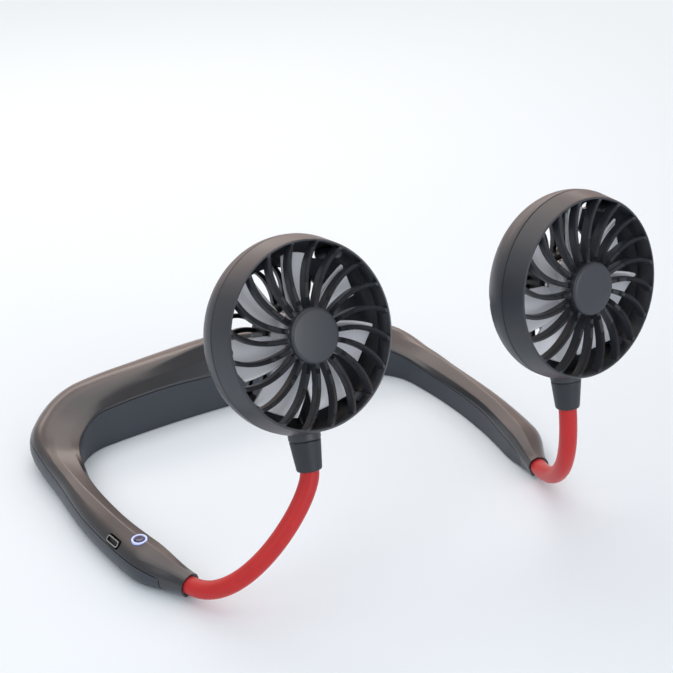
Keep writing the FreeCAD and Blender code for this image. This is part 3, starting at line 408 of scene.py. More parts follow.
def alongBand(values, run):
    # smooth curve through one value for each section run, which never swings past them
    spans = [after - before for before, after in zip(sectionRuns, sectionRuns[1:])]
    slopes = [(after - before) / span for before, after, span in zip(values, values[1:], spans)]
    leans = [2 * a * b / (a + b) if a * b > 0 else 0.0 for a, b in zip(slopes, slopes[1:])]
    leans = [0.0] + leans + [0.0]
    reach = min(abs(run), sectionRuns[-1])
    i = max(step for step in range(len(spans)) if sectionRuns[step] <= reach)
    share = (reach - sectionRuns[i]) / spans[i]
    rest = 1 - share
    return rest * rest * (1 + 2 * share) * values[i] + share * share * (3 - 2 * share) * values[i + 1] \
        + share * rest * spans[i] * (rest * leans[i] - share * leans[i + 1])


# columns of the outline, counted from the inner foot
lipColumn = 2
creaseColumn = lipColumn + band["lipParts"]
ridgeColumn = creaseColumn + band["creaseParts"]
outerColumn = ridgeColumn + band["ridgeParts"]
jointColumn = outerColumn + band["upperArc"]


def bandOutline(run):
    toFore = ease(tipRun - band["foreStart"], tipRun - band["foreEnd"], abs(run))
    toTip = ease(tipRun - band["foreEnd"], tipRun, abs(run))
    points = []
    for corner, (fore, tip) in enumerate(zip(band["fore"], band["tip"])):
        here = Vector([alongBand([section[corner][axis] for section in band["sections"]], run)
                       for axis in (0, 1)])
        points.append(here.lerp(Vector(fore), toFore).lerp(Vector(tip), toTip))
    jointUp = mix(alongBand(band["joints"], run), band["tipJoint"], toTip)
    foot, lip, crease, innerRidge, outerRidge, bulge, outerFoot = points
    foot.y -= band["footTrim"]
    outerFoot.y -= band["footTrim"]
    floorUp = max(foot.y, 0.0)
    centreOut, centreUp, radius = circleThrough(outerRidge, bulge, outerFoot)

    def onArc(turn):
        return Vector((centreOut + radius * math.cos(turn), centreUp + radius * math.sin(turn)))

    # the ridge melts into the bend and the back, where the outer arc leaves the top along its tangent
    ridgeSoft = 1 - ease(*band["softTo"], abs(run))
    toRidge = innerRidge - Vector((centreOut, centreUp))
    tangent = math.atan2(toRidge.y, toRidge.x) - math.acos(min(radius / toRidge.length, 1.0))
    outerRidge = outerRidge.lerp(onArc(tangent), ridgeSoft)
    topTurn = math.atan2(outerRidge.y - centreUp, outerRidge.x - centreOut)
    jointTurn = math.asin((jointUp - centreUp) / radius)
    floorTurn = math.asin((floorUp - centreUp) / radius)
    if outerFoot.y >= 0 and outerFoot.x < centreOut:
        # a raised foot lies past the lowest point of the arc
        floorTurn = -math.pi - floorTurn
    outline = [foot.lerp(lip, (floorUp - foot.y) / (lip.y - foot.y)),
               foot.lerp(lip, (lip.y - band["lipDrop"] - foot.y) / (lip.y - foot.y)), lip]
    for start, end, count in ((lip, crease, band["lipParts"]), (crease, innerRidge, band["creaseParts"]),
                              (innerRidge, outerRidge, band["ridgeParts"])):
        outline += [start.lerp(end, i / count) for i in range(1, count + 1)]
    for start, end, count in ((topTurn, jointTurn, band["upperArc"]),
                              (jointTurn, floorTurn, band["lowerArc"])):
        outline += [onArc(mix(start, end, i / count)) for i in range(1, count + 1)]
    # the crease melts only into the bend
    creaseSoft = ridgeSoft * ease(*band["softFrom"], abs(run))
    # each second pass pushes out again, so that the corners round off and the height stays
    for pull in band["softPull"] * band["softPairs"]:
        eased = list(outline)
        for i in range(lipColumn + 1, jointColumn):
            soft = mix(creaseSoft, ridgeSoft, ease(creaseColumn, ridgeColumn, i)) * pull
            eased[i] = outline[i].lerp((outline[i - 1] + outline[i + 1]) / 2, soft)
        outline = eased
    spot, outward = planFrame(run)
    return [spot + outward * out + zAxis * up for out, up in outline]


def spread(start, end, count):
    return [mix(start, end, i / count) for i in range(count)]


halfRuns = spread(0, planArcs[0][1], band["stationsBack"]) \
    + spread(planArcs[0][1], cornerEnd, band["stationsCorner"]) \
    + spread(cornerEnd, trayEnd, band["stationsArm"]) \
    + spread(trayEnd, tipRun, band["stationsTip"]) + [tipRun]
runs = [-run for run in reversed(halfRuns[1:])] + halfRuns

shell = bmesh.new()
rings = []
for run in runs:
    outline = bandOutline(run)
    ring = bmesh.ops.create_circle(shell, segments=len(outline), radius=1.0)["verts"]
    for vert, spot in zip(ring, outline):
        vert.co = spot
    rings.append(ring)
columnCount = len(rings[0])
for ring, nextRing in zip(rings, rings[1:]):
    edges = {edge for vert in ring + nextRing for edge in vert.link_edges if len(edge.link_faces) < 2}
    loops = [edge for edge in edges if (edge.verts[0] in ring) == (edge.verts[1] in ring)]
    bmesh.ops.bridge_loops(shell, edges=loops)

# tray faces lie below the joint and stop short of the tips; they are told apart by material index
upperFaces, trayFaces = 0, 1
stationOf = {vert: i for i, ring in enumerate(rings) for vert in ring}
columnOf = {vert: j for ring in rings for j, vert in enumerate(ring)}
for face in shell.faces:
    columns = {columnOf[vert] for vert in face.verts}
    below = columns == {0, columnCount - 1} or columns == {0, 1} or min(columns) >= jointColumn
    farthest = max(abs(runs[stationOf[vert]]) for vert in face.verts)
    inTray = farthest <= trayEnd + band["runSlack"]
    face.material_index = trayFaces if below and inTray else upperFaces
creaseColumns = (0, lipColumn, creaseColumn, ridgeColumn, outerColumn, columnCount - 1)
creases = [edge for edge in shell.edges
           if columnOf[edge.verts[0]] == columnOf[edge.verts[1]]
           and columnOf[edge.verts[0]] in creaseColumns]
roundEdges(shell, creases, band["creaseRound"], band["creaseSegments"])
bmesh.ops.recalc_face_normals(shell, faces=shell.faces)
tipSpots = [sum(bandOutline(run), Vector()) / columnCount for run in (-tipRun, tipRun)]


def coverMesh(name, which):
    # one of the two mouldings: its faces of the outside, thickened inwards, thinner at the tips
    half = shell.copy()
    others = [face for face in half.faces if face.material_index != which]
    bmesh.ops.delete(half, geom=others, context="FACES")
    if which == trayFaces:
        # the tray's rim stands back a little, which leaves the dark parting line
        moves = {}
        for vert in half.verts:
            inner = [edge.other_vert(vert).co for edge in vert.link_edges if not edge.is_boundary]
            if vert.is_boundary and inner:
                inwards = sum(inner, Vector()) / len(inner) - vert.co
                moves[vert] = inwards.normalized() * band["rimGap"]
        for vert, move in moves.items():
            vert.co += move
    mesh = takeMesh(name, half)
    stock = bpy.data.objects.new(name + "Stock", mesh)
    scene.collection.objects.link(stock)
    walls = stock.vertex_groups.new(name="wall")
    thin = band["tipWall"] / band["wall"]
    for vert in mesh.vertices:
        near = min((vert.co - spot).length for spot in tipSpots)
        walls.add([vert.index], mix(thin, 1.0, ease(*band["tipWallBand"], near)), "REPLACE")
    thicken = stock.modifiers.new("wall", "SOLIDIFY")
    thicken.thickness = band["wall"]
    thicken.offset = -1
    thicken.use_even_offset = True
    thicken.vertex_group = "wall"
    made = bakedMesh(stock)
    bpy.data.objects.remove(stock)
    bpy.data.meshes.remove(mesh)
    return made


def finishCover(name, mesh, look, node):
    mesh.transform(toMetres)
    piece = dressMesh(name, mesh, "neckband", look, (node,), corner=band["corner"])
    rims = piece.modifiers.new("rims", "BEVEL")
    rims.width = band["rimRound"] * mm
    rims.segments = band["rimSegments"]
    rims.limit_method = "ANGLE"
    rims.angle_limit = math.radians(band["rimAngle"])
    # the rims are rounded before the normals are weighted
    piece.modifiers.move(1, 0)


# openings in the covers: charging slot and button bore above, screw recesses below
openings = {
    "slotFromTip": 37.0, "slotSize": (9.4, 6.0, 4.2), "slotOut": 14.6, "slotUp": 11.7, "slotTilt": 36.0,
    "slotRound": (1.7, 5), "boreRadius": 3.3, "boreDepth": 3.0, "boreSteps": 64,
    "screwRuns": (-118, -60, 0, 60, 118), "screwOut": 8.6, "recessRadius": 2.16, "recessTop": 1.4,
    "recessSteps": 40,
}
button = {
    "spot": (-93.435, -109.001, 14.123), "axis": (-0.0515, -0.0091, 0.9986), "steps": 64,
    "capRadius": 2.3, "capProud": 0.5, "capDish": 0.12, "dishMiddle": (0.6, 0.5), "capRound": 0.4,
    "roundMiddle": 0.3, "capFoot": -3.3, "capFlange": 0.75, "capFlangeHigh": 0.6,
    "ringRadius": 3.2, "ringBore": 2.45, "ringProud": 0.3, "ringFoot": -2.45, "ringFlange": 0.6,
    "ringFlangeTop": -1.85, "ringRound": (0.18, 3, 35),
}
buttonPlace = Matrix.Translation(button["spot"]) \
    @ zAxis.rotation_difference(Vector(button["axis"])).to_matrix().to_4x4()
spot, outward = planFrame(openings["slotFromTip"] - tipRun)
slotPlace = Matrix.Translation(spot + outward * openings["slotOut"] + zAxis * openings["slotUp"]) \
    @ Matrix((outward.cross(zAxis), outward, zAxis)).transposed().to_4x4() \
    @ Matrix.Rotation(math.radians(openings["slotTilt"]), 4, "X")
upperCutter = roundedBlock(openings["slotSize"], openings["slotSize"][1] / 2, *openings["slotRound"])
upperCutter.transform(slotPlace)
boreCutter = bmesh.new()
addCylinder(boreCutter, openings["boreRadius"], 2 * openings["boreDepth"], openings["boreSteps"],
            buttonPlace)
joinInto(upperCutter, boreCutter)
lowerCutter = bmesh.new()
for run in openings["screwRuns"]:
    spot, outward = planFrame(run)
    addCylinder(lowerCutter, openings["recessRadius"], 2 * openings["recessTop"], openings["recessSteps"],
                Matrix.Translation(spot + outward * openings["screwOut"]))
finishCover("upperCover", cutAway(coverMesh("upper", upperFaces), upperCutter), "glossMouldedAbs",
            "upper_cover")
finishCover("lowerCover", cutAway(coverMesh("lower", trayFaces), lowerCutter), "sparkGrainAbs",
            "lower_cover")
shell.free()
print("neckband covers made")

# charging socket: plated shell drawn from a rounded block, its mouth pushed in, and a dark insert with the
# tongue; roundings are (radius, segments)
chargeSocket = {
    "shell": (8.0, 7.0, 3.0), "shellRound": (1.3, 6), "shellFront": 0.1, "wall": 0.55, "mouth": 4.5,
    "insert": (6.9, 1.0, 1.9), "insertRound": (0.6, 4), "insertFront": -1.6,
    "tongue": (4.9, 4.0, 0.6), "tongueRound": (0.2, 2), "tongueFront": -0.8,
}
shellBlock = roundedBlock(chargeSocket["shell"], chargeSocket["shellFront"], *chargeSocket["shellRound"])
mouth = max(shellBlock.faces, key=lambda face: face.calc_center_median().y)
bmesh.ops.inset_region(shellBlock, faces=[mouth], thickness=chargeSocket["wall"])
pushed = bmesh.ops.extrude_face_region(shellBlock, geom=[mouth])["geom"]
bmesh.ops.translate(shellBlock, verts=[item for item in pushed if isinstance(item, bmesh.types.BMVert)],
                    vec=(0, -chargeSocket["mouth"], 0))
bmesh.ops.delete(shellBlock, geom=[mouth], context="FACES_ONLY")
newPiece("socketShell", shellBlock, "neckband", "tumbledNickelPlate", ("usb_socket",),
         toMetres @ slotPlace)
insert = roundedBlock(chargeSocket["insert"], chargeSocket["insertFront"], *chargeSocket["insertRound"])
joinInto(insert, roundedBlock(chargeSocket["tongue"], chargeSocket["tongueFront"],
                              *chargeSocket["tongueRound"]))
newPiece("socketInsert", insert, "neckband", "darkMouldedAbs", ("usb_socket",),
         toMetres @ slotPlace)
print("socket made")

# power button cap with a shallow dish, and the lit ring around it
capSide = button["capRadius"]
capTop = button["capProud"]
capRound = button["capRound"]
midRound = capRound * button["roundMiddle"]
capFlange = capSide + button["capFlange"]
capFlangeTop = button["capFoot"] + button["capFlangeHigh"]
dishOut, dishUp = button["dishMiddle"]
cap = spunOutline(((0, capTop - button["capDish"]),
                   (capSide * dishOut, capTop - button["capDish"] * dishUp),
                   (capSide - capRound, capTop), (capSide - midRound, capTop - midRound),
                   (capSide, capTop - capRound), (capSide, capFlangeTop), (capFlange, capFlangeTop),
                   (capFlange, button["capFoot"]), (0, button["capFoot"])),
                  zAxis, button["steps"], closed=False)
newPiece("buttonCap", cap, "button", "tintedButtonPaintedLampLight", ("power_button",),
         toMetres @ buttonPlace)
ringFlange = button["ringRadius"] + button["ringFlange"]
litRing = spunOutline(((button["ringBore"], button["ringProud"]),
                       (button["ringRadius"], button["ringProud"]),
                       (button["ringRadius"], button["ringFlangeTop"]),
                       (ringFlange, button["ringFlangeTop"]), (ringFlange, button["ringFoot"]),
                       (button["ringBore"], button["ringFoot"])), zAxis, button["steps"])
soften(litRing, *button["ringRound"])
newPiece("litRing", litRing, "neckband", "opalDiffuser", ("light_ring",),
         toMetres @ buttonPlace)
print("button made")

# goosenecks: arm tip and its way out, collar foot, turn, lean and roll of the head, reach of each bending
# joint, and how hard each end pulls the tube straight
arms = {
    "left": {"tip": (-85.127, -137.139, 6.4), "way": (0.29237, -0.95630, 0),
             "foot": (-40.427, -152.839, 52.4), "turn": 5.6, "lean": 19.8, "roll": 4.0,
             "reaches": (20.0, 10.0), "pull": (29.2, 11.4)},
    "right": {"tip": (85.127, -137.139, 6.4), "way": (-0.29237, -0.95630, 0),
              "foot": (71.727, -168.239, 54.8), "turn": 5.1, "lean": 11.5, "roll": 1.1,
              "reaches": (11.0, 26.0), "pull": (8.0, 38.7)},
}
hose = {"sleeveRadius": 3.7, "coreRadius": 2.2, "leadRadius": 0.9, "intoTip": 8.0, "intoCollar": 9.0,
        "leadIntoTip": 16.0, "leadIntoCollar": 11.5, "handle": 2.0, "blendInset": 1.0,
        "curveSteps": 20, "roundSteps": 8}


def headPlace(side):
    arm = arms[side]
    turn = Matrix.Rotation(math.radians(arm["turn"]), 4, "Z")
    lean = Matrix.Rotation(math.radians(-arm["lean"]), 4, "X")
    roll = Matrix.Rotation(math.radians(arm["roll"]), 4, "Y")
    return toMetres @ Matrix.Translation(arm["foot"]) @ (turn @ lean) @ roll


def tubeMesh(name, knots, radius):
    # smooth tube along Bezier knots, each knot with its handles
    curve = newCurve(name, radius, hose)
    spline = curve.splines.new("BEZIER")
    spline.bezier_points.add(len(knots) - 1)
    for point, (before, spot, after) in zip(spline.bezier_points, knots):
        point.handle_left_type = "FREE"
        point.handle_right_type = "FREE"
        point.co = spot * mm
        point.handle_left = before * mm
        point.handle_right = after * mm
    return curveMesh(curve)


def bendingTube(name, side, radius, intoTip, intoCollar, look, node):
    # one bend from the arm tip to the collar, parted in the middle into two pieces
    arm = arms[side]
    way = Vector(arm["way"])
    up = headPlace(side).to_3x3() @ zAxis
    up.normalize()
    tip = Vector(arm["tip"])
    foot = Vector(arm["foot"])
    first = tip + way * arm["pull"][0]
    last = foot - up * arm["pull"][1]
    a, b, c = (tip + first) / 2, (first + last) / 2, (last + foot) / 2
    d, e = (a + b) / 2, (b + c) / 2
    middle = (d + e) / 2
    root = tip - way * intoTip
    top = foot + up * intoCollar
    handle = hose["handle"]
    lower = [(root - way, root, root + way), (tip - way * handle, tip, a), (d, middle, e)]
    upper = [(d, middle, e), (c, foot, foot + up * handle), (top - up, top, top + up)]
    inset = hose["blendInset"]
    halves = (("Lower", lower, ("neckband", side + "_arm"),
               tip + way * inset, tip + way * (arm["reaches"][0] - inset)),
              ("Upper", upper, (side + "_arm", side + "_head"),
               foot - up * (arm["reaches"][1] - inset), foot - up * inset))
    for label, knots, bodies, start, end in halves:
        mesh = tubeMesh(name + label, knots, radius)
        piece = dressMesh(name + label, mesh, None, look, (node,))
        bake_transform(piece)


for side in arms:
    bendingTube(side + "Sleeve", side, hose["sleeveRadius"], hose["intoTip"], hose["intoCollar"],
                "extrudedRedSilicone", side + "_gooseneck_sleeve")
    bendingTube(side + "Core", side, hose["coreRadius"], hose["intoTip"], hose["intoCollar"],
                "rolledHoseSteel", side + "_gooseneck_core")
    bendingTube(side + "ArmLead", side, hose["leadRadius"], hose["leadIntoTip"], hose["leadIntoCollar"],
                "extrudedLeadPvc", side + "_arm_lead")
print("goosenecks made")

# fan head, millimetres: depths run back from the front rim, radii from the fan's own axis, roundings are
# (radius, segments, least angle of the edges)
head = {
    "axisUp": 52.55, "axisBack": -17.2, "steps": 128, "corner": 50,
    "ring": ((34.6, 0.1), (35.1, 0), (35.5, 0.45), (37.45, 9.3), (37.2, 9.6), (35.9, 9.6), (34.6, 4.0)),
    "hub": ((0, -2.0), (6.0, -1.9), (10.5, -1.6), (10.5, 2.4), (0, 2.4)), "hubSteps": 64,
    "hubRound": (1.4, 5, 60),
    "ribCount": 20, "ribFrom": 9.7, "ribTo": 35.05, "ribWidth": 1.9, "ribFront": 0.3, "ribBack": 4.3,
    "ribSweep": 14.0, "ribSteps": 14, "ribRound": (0.55, 3, 60),
    "postCircle": 33.4, "postAngles": (35.0, 145.0, 270.0), "postRadius": 2.1, "postFront": 5.0,
    "postBack": 9.6, "postSteps": 28, "postRound": (0.4, 2, 60),
    "bowl": ((37.4, 12.75), (35.0, 19.5), (27.0, 25.5)), "bowlFront": ((37.2, 9.75), (37.5, 10.05)),
    "bowlWall": 1.6, "bowlOpening": 25.0, "bowlArc": 12, "bowlRound": (0.2, 2, 55),
    "rearRibFrom": 10.8, "rearRibTo": 25.8, "rearRibFront": 22.7, "rearRibBack": 25.5,
    "rearRibSweep": -14.0,
    "cupRadius": 11.55, "cupBore": 10.05, "cupFront": 16.5, "cupFloor": 23.7, "cupBack": 25.5,
    "cupSteps": 96, "cupRound": (0.4, 3, 60),
    "bossRadius": 6.3, "bossFoot": 12.15, "bossTop": 22.65, "bossSteps": 64, "bossRound": (0.5, 3, 60),
    "screwSeat": 16.4, "recessRadius": 1.8, "recessDepth": 10.0, "recessSteps": 32,
    "rearPost": ((1.0, 9.75), (2.1, 9.75), (2.1, 18.0), (1.85, 18.0), (1.85, 16.4), (1.0, 16.4)),
}
collar = {"outline": ((3.8, 0.0), (4.2, 0.0), (4.75, 0.25), (5.0, 0.8), (6.08, 11.2), (6.1, 11.6),
                      (5.85, 12.0), (2.3, 12.0), (2.3, 9.0), (3.8, 9.0)), "steps": 64, "corner": 45}
wheel = {
    "hub": ((0, 5.6), (7.8, 5.6), (8.8, 5.8), (9.64, 6.36), (10.2, 7.2), (10.4, 8.2), (10.4, 12.7),
            (9.1, 12.7), (9.1, 8.2), (2.6, 8.2), (2.6, 11.4), (1.03, 11.4), (1.03, 7.3), (0, 7.3)),
    "hubSteps": 72, "bladeCount": 7, "root": 9.7, "tip": 30.6, "chord": (9.0, 17.0), "pitch": (48.0, 26.0),
    "sweep": 3.0, "camber": 1.3, "thickness": 1.1, "middle": 9.2, "cuts": 10, "bladeRound": (0.35, 2, 60),
}
lead = {"radius": 0.8, "route": ((0, 0, 12.15), (0, 0, 19.25), (0, 3.0, 22.25), (0, 3.0, 42.95)),
        "order": 3, "curveSteps": 12, "roundSteps": 4}


def aroundAxis(radius, depth, degrees):
    turn = math.radians(degrees)
    return Vector((radius * math.sin(turn), depth, radius * math.cos(turn)))


def sweptRibs(bm, inner, outer, width, front, back, sweep):
    # one rib pushed out step by step from its root face, rounded, then spun round the axis
    rib = bmesh.new()
    corner = rib.verts.layers.int.new("corner")

    def corners(share):
        radius = mix(inner, outer, share)
        degrees = sweep * share * share
        half = math.degrees(width / 2 / radius)
        return [aroundAxis(radius, depth, degrees + way * half)
                for depth, way in ((front, -1), (front, 1), (back, 1), (back, -1))]

    root = [rib.verts.new(spot) for spot in corners(0)]
    for index, vert in enumerate(root):
        vert[corner] = index
    end = rib.faces.new(root)
    for step in range(1, head["ribSteps"] + 1):
        grown = bmesh.ops.extrude_face_region(rib, geom=[end])["geom"]
        end = next(item for item in grown if isinstance(item, bmesh.types.BMFace))
        spots = corners(step / head["ribSteps"])
        for vert in end.verts:
            vert.co = spots[vert[corner]]
    bmesh.ops.recalc_face_normals(rib, faces=rib.faces)
    soften(rib, *head["ribRound"])
    spinCopies(rib, head["ribCount"])
    joinInto(bm, rib)


def frontCover(side, fanPlace):
    rim = spunOutline(head["ring"], yAxis, head["steps"])
    hub = spunOutline(head["hub"], yAxis, head["hubSteps"], closed=False)
    bmesh.ops.recalc_face_normals(hub, faces=hub.faces)
    soften(hub, *head["hubRound"])
    joinInto(rim, hub)
    sweptRibs(rim, head["ribFrom"], head["ribTo"], head["ribWidth"], head["ribFront"], head["ribBack"],
              head["ribSweep"])
    for angle in head["postAngles"]:
        post = bmesh.new()
        middle = aroundAxis(head["postCircle"], (head["postFront"] + head["postBack"]) / 2, angle)
        addCylinder(post, head["postRadius"], head["postBack"] - head["postFront"], head["postSteps"],
                    Matrix.Translation(middle) @ layOnY)
        soften(post, *head["postRound"])
        joinInto(rim, post)
    newPiece(side + "FrontCover", rim, side + "_head", "satinMouldedAbs",
             (side + "_front_cover",), fanPlace, head["corner"])


def rearCover(side, fanPlace):
    # bowl of one arc, thick by its wall, with the screw recesses cut from behind
    first, bulge, last = head["bowl"]
    x, y, radius = circleThrough(first, bulge, last)
    start = math.atan2(first[1] - y, first[0] - x)
    end = math.atan2(last[1] - y, last[0] - x)
    turns = [mix(start, end, i / head["bowlArc"]) for i in range(head["bowlArc"] + 1)]
    inner = radius - head["bowlWall"]
    outside = [(x + radius * math.cos(turn), y + radius * math.sin(turn)) for turn in turns]
    inside = [(x + inner * math.cos(turn), y + inner * math.sin(turn)) for turn in reversed(turns)]
    opening = head["bowlOpening"]
    lip = [(opening, last[1]), (opening, last[1] - head["bowlWall"])]
    foot = (head["bowlFront"][1][0] - head["bowlWall"], head["bowlFront"][0][1])
    bowl = spunOutline(list(head["bowlFront"]) + outside + lip + inside + [foot], yAxis, head["steps"])
    bmesh.ops.recalc_face_normals(bowl, faces=bowl.faces)
    soften(bowl, *head["bowlRound"])
    recesses = bmesh.new()
    for angle in head["postAngles"]:
        middle = aroundAxis(head["postCircle"], head["screwSeat"] + head["recessDepth"] / 2, angle)
        addCylinder(recesses, head["recessRadius"], head["recessDepth"], head["recessSteps"],
                    Matrix.Translation(middle) @ layOnY)
    bm = bmesh.new()
    addMesh(bm, cutAway(takeMesh("bowl", bowl), recesses))
    for angle in head["postAngles"]:
        # hollow post that carries the screw seat, seen down the recess
        post = spunOutline(head["rearPost"], yAxis, head["recessSteps"])
        post.transform(Matrix.Translation(aroundAxis(head["postCircle"], 0, angle)))
        joinInto(bm, post)
    # motor cup in the middle, and the ribs that carry it
    cup = spunOutline(((0, head["cupBack"]), (head["cupRadius"], head["cupBack"]),
                       (head["cupRadius"], head["cupFront"]), (head["cupBore"], head["cupFront"]),
                       (head["cupBore"], head["cupFloor"]), (0, head["cupFloor"])),
                      yAxis, head["cupSteps"], closed=False)
    bmesh.ops.recalc_face_normals(cup, faces=cup.faces)
    soften(cup, *head["cupRound"])
    joinInto(bm, cup)
    sweptRibs(bm, head["rearRibFrom"], head["rearRibTo"], head["ribWidth"], head["rearRibFront"],
              head["rearRibBack"], head["rearRibSweep"])
    # neck boss below the bowl, cut away where it would stand in the hollow
    boss = bmesh.new()
    addCylinder(boss, head["bossRadius"], head["bossTop"] - head["bossFoot"], head["bossSteps"],
                Matrix.Translation((0, 0, (head["bossTop"] + head["bossFoot"]) / 2)))
    soften(boss, *head["bossRound"])
    boss.transform(Matrix.Translation((0, -head["axisBack"], -head["axisUp"])))
    hollow = spunOutline([(0, foot[1]), foot] + inside[::-1] + [(0, inside[0][1])], yAxis, head["steps"],
                         closed=False)
    addMesh(bm, cutAway(takeMesh("boss", boss), hollow))
    newPiece(side + "RearCover", bm, side + "_head", "satinMouldedAbs",
             (side + "_rear_cover",), fanPlace, head["corner"])


def fanWheel(side, fanPlace):
    wheelMesh = spunOutline(wheel["hub"], yAxis, wheel["hubSteps"], closed=False)
    blade = bmesh.new()
    bmesh.ops.create_grid(blade, x_segments=wheel["cuts"], y_segments=wheel["cuts"], size=1.0)
    for vert in blade.verts:
        across, share = vert.co.x, (vert.co.y + 1) / 2
        twist = math.sqrt(share)
        run = across * mix(*wheel["chord"], twist) / 2
        pitch = math.radians(mix(*wheel["pitch"], twist))
        lift = wheel["camber"] * (1 - across * across)
        x = wheel["sweep"] * share * share + run * math.cos(pitch) - lift * math.sin(pitch)
        radius = mix(wheel["root"], wheel["tip"], share)
        vert.co = (x, wheel["middle"] + run * math.sin(pitch) + lift * math.cos(pitch),
                   math.sqrt(radius * radius - x * x))
    bmesh.ops.recalc_face_normals(blade, faces=blade.faces)
    bmesh.ops.solidify(blade, geom=blade.faces[:], thickness=wheel["thickness"])
    bmesh.ops.recalc_face_normals(blade, faces=blade.faces)
    soften(blade, *wheel["bladeRound"])
    spinCopies(blade, wheel["bladeCount"])
    joinInto(wheelMesh, blade)
    newPiece(side + "FanWheel", wheelMesh, side + "_fan", "milkyPolypropylene",
             (side + "_impeller",), fanPlace, head["corner"])


def motorLead(side, place):
    curve = newCurve(side + "MotorLead", lead["radius"], lead)
    spline = curve.splines.new("NURBS")
    spline.points.add(len(lead["route"]) - 1)
    for point, spot in zip(spline.points, lead["route"]):
        point.co = (place @ Vector(spot)).to_4d()
    spline.order_u = lead["order"]
    spline.use_endpoint_u = True
    dressMesh(side + "MotorLead", curveMesh(curve), side + "_head", "extrudedLeadPvc",
              (side + "_motor_lead",))


for side in arms:
    place = headPlace(side)
    fanPlace = place @ Matrix.Translation((0, head["axisBack"], head["axisUp"]))
    frontCover(side, fanPlace)
    rearCover(side, fanPlace)
    fanWheel(side, fanPlace)
    motorLead(side, place)
    newPiece(side + "Collar", spunOutline(collar["outline"], zAxis, collar["steps"]), side + "_head",
             "darkMouldedAbs", (side + "_collar",), place, collar["corner"])
    print(side, "fan head made")

# pale studio, metres and watts: a floor that fades into the backdrop, softboxes as name, place, aim, size,
# power and colour, an even sky, and a warm side behind the fan that only gloss shows
studio = {
    "floorSize": 4.0, "floorDrop": 0.0003, "floorColour": "#e8f1f9", "floorRough": 0.6,
    "backdropColour": "#f1f5f8", "backdropStrength": 1.0, "backdropBand": (0.3, 1.2),
    "lamps": (
        ("overheadSoftbox", (-0.1, 0.25, 1.0), (0, -0.05, 0), (1.4, 0.8), 5.0, "#fffaf6"),
        ("leftSoftbox", (-1.0, -0.6, 0.9), (0.0, -0.1, 0.05), (0.8, 0.8), 3.4, "#f4f8ff"),
        ("frontFill", (0.25, -1.3, 0.45), (0.02, -0.16, 0.1), (0.9, 0.6), 5.0, "#f6f9ff"),
        ("backStrip", (0.2, 0.8, 0.55), (0.0, 0.0, 0.05), (1.4, 0.25), 3.0, "#fff4ec"),
    ),
    "skyLow": "#eef3f8", "skyHigh": "#f0ece9", "skyBand": (0.1, 0.55), "skyStrength": 0.6,
    "warmWay": (0.35, 0.82, 0.45), "warmBand": (0.5, 0.9), "warmColour": "#fbdccf", "warmStrength": 1.1,
}
backdropLight = {"Color": linear(studio["backdropColour"]), "Strength": studio["backdropStrength"]}
floorGrid = bmesh.new()
bmesh.ops.create_grid(floorGrid, x_segments=1, y_segments=1, size=studio["floorSize"])
floorGrid.transform(Matrix.Translation((0, 0, -studio["floorDrop"])))
floor = bpy.data.objects.new("studioFloor", takeMesh("studioFloor", floorGrid))
scene.collection.objects.link(floor)

# matt studio paper: far from the fan the camera sees the backdrop's even tone instead
paper = bpy.data.materials.new("mattStudioPaper")
paperTree = emptyTree(paper)
sheet = addNode(paperTree, "ShaderNodeBsdfPrincipled",
                {"Base Color": linear(studio["floorColour"]), "Roughness": studio["floorRough"]})
floorSpot = addNode(paperTree, "ShaderNodeTexCoord").outputs["Object"]
away = addNode(paperTree, "ShaderNodeVectorMath", {}, {0: floorSpot}, operation="LENGTH")
far = addNode(paperTree, "ShaderNodeMapRange",
              {"From Min": studio["backdropBand"][0], "From Max": studio["backdropBand"][1]},
              {"Value": away.outputs["Value"]}, interpolation_type="SMOOTHSTEP")
eye = addNode(paperTree, "ShaderNodeLightPath").outputs["Is Camera Ray"]
fade = addNode(paperTree, "ShaderNodeMath", {}, {0: far.outputs["Result"], 1: eye}, operation="MULTIPLY")
backdrop = addNode(paperTree, "ShaderNodeEmission", backdropLight)
faded = addNode(paperTree, "ShaderNodeMixShader", {},
                {0: fade.outputs["Value"], 1: sheet.outputs["BSDF"], 2: backdrop.outputs["Emission"]})
addNode(paperTree, "ShaderNodeOutputMaterial", {}, {"Surface": faded.outputs["Shader"]})
floor.data.materials.append(paper)

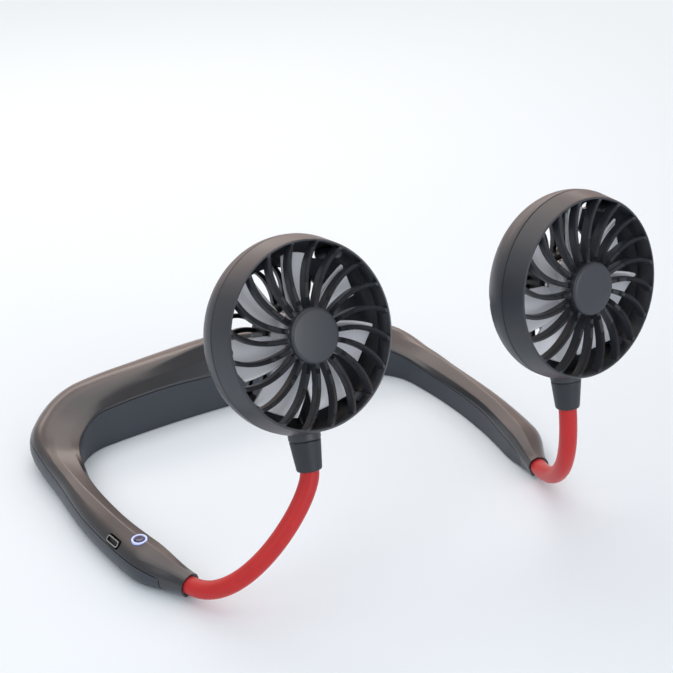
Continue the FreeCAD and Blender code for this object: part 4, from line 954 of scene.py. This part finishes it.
for name, spot, aim, size, power, colour in studio["lamps"]:
    lamp = bpy.data.lights.new(name, "AREA")
    lamp.shape = "RECTANGLE"
    lamp.size, lamp.size_y = size
    lamp.energy = power
    lamp.color = linear(colour)[:3]
    holder = bpy.data.objects.new(name, lamp)
    holder.location = spot
    holder.rotation_euler = (Vector(aim) - Vector(spot)).to_track_quat("-Z", "Y").to_euler()
    scene.collection.objects.link(holder)

# world: sky for the light, its warm side in gloss alone, and the backdrop's tone for the camera
world = bpy.data.worlds.new("paleStudio")
worldTree = emptyTree(world)
way = addNode(worldTree, "ShaderNodeTexCoord").outputs["Generated"]
height = addNode(worldTree, "ShaderNodeSeparateXYZ", {}, {"Vector": way}).outputs["Z"]
rise = addNode(worldTree, "ShaderNodeMapRange",
               {"From Min": studio["skyBand"][0], "From Max": studio["skyBand"][1]}, {"Value": height})
shade = addNode(worldTree, "ShaderNodeMix",
                {6: linear(studio["skyLow"]), 7: linear(studio["skyHigh"])},
                {0: rise.outputs["Result"]}, data_type="RGBA")
sky = addNode(worldTree, "ShaderNodeBackground", {"Strength": studio["skyStrength"]},
              {"Color": shade.outputs[2]})
towards = addNode(worldTree, "ShaderNodeVectorMath", {1: Vector(studio["warmWay"]).normalized()}, {0: way},
                  operation="DOT_PRODUCT")
near = addNode(worldTree, "ShaderNodeMapRange",
               {"From Min": studio["warmBand"][0], "From Max": studio["warmBand"][1]},
               {"Value": towards.outputs["Value"]}, interpolation_type="SMOOTHSTEP")
rays = addNode(worldTree, "ShaderNodeLightPath")
seen = addNode(worldTree, "ShaderNodeMath", {},
               {0: near.outputs["Result"], 1: rays.outputs["Is Glossy Ray"]}, operation="MULTIPLY")
warm = addNode(worldTree, "ShaderNodeBackground",
               {"Color": linear(studio["warmColour"]), "Strength": studio["warmStrength"]})
around = addNode(worldTree, "ShaderNodeMixShader", {},
                 {0: seen.outputs["Value"], 1: sky.outputs["Background"], 2: warm.outputs["Background"]})
pale = addNode(worldTree, "ShaderNodeBackground", backdropLight)
whole = addNode(worldTree, "ShaderNodeMixShader", {},
                {0: rays.outputs["Is Camera Ray"], 1: around.outputs["Shader"],
                 2: pale.outputs["Background"]})
addNode(worldTree, "ShaderNodeOutputWorld", {}, {"Surface": whole.outputs["Shader"]})
scene.world = world
print("studio made")

bpy.context.view_layer.update()
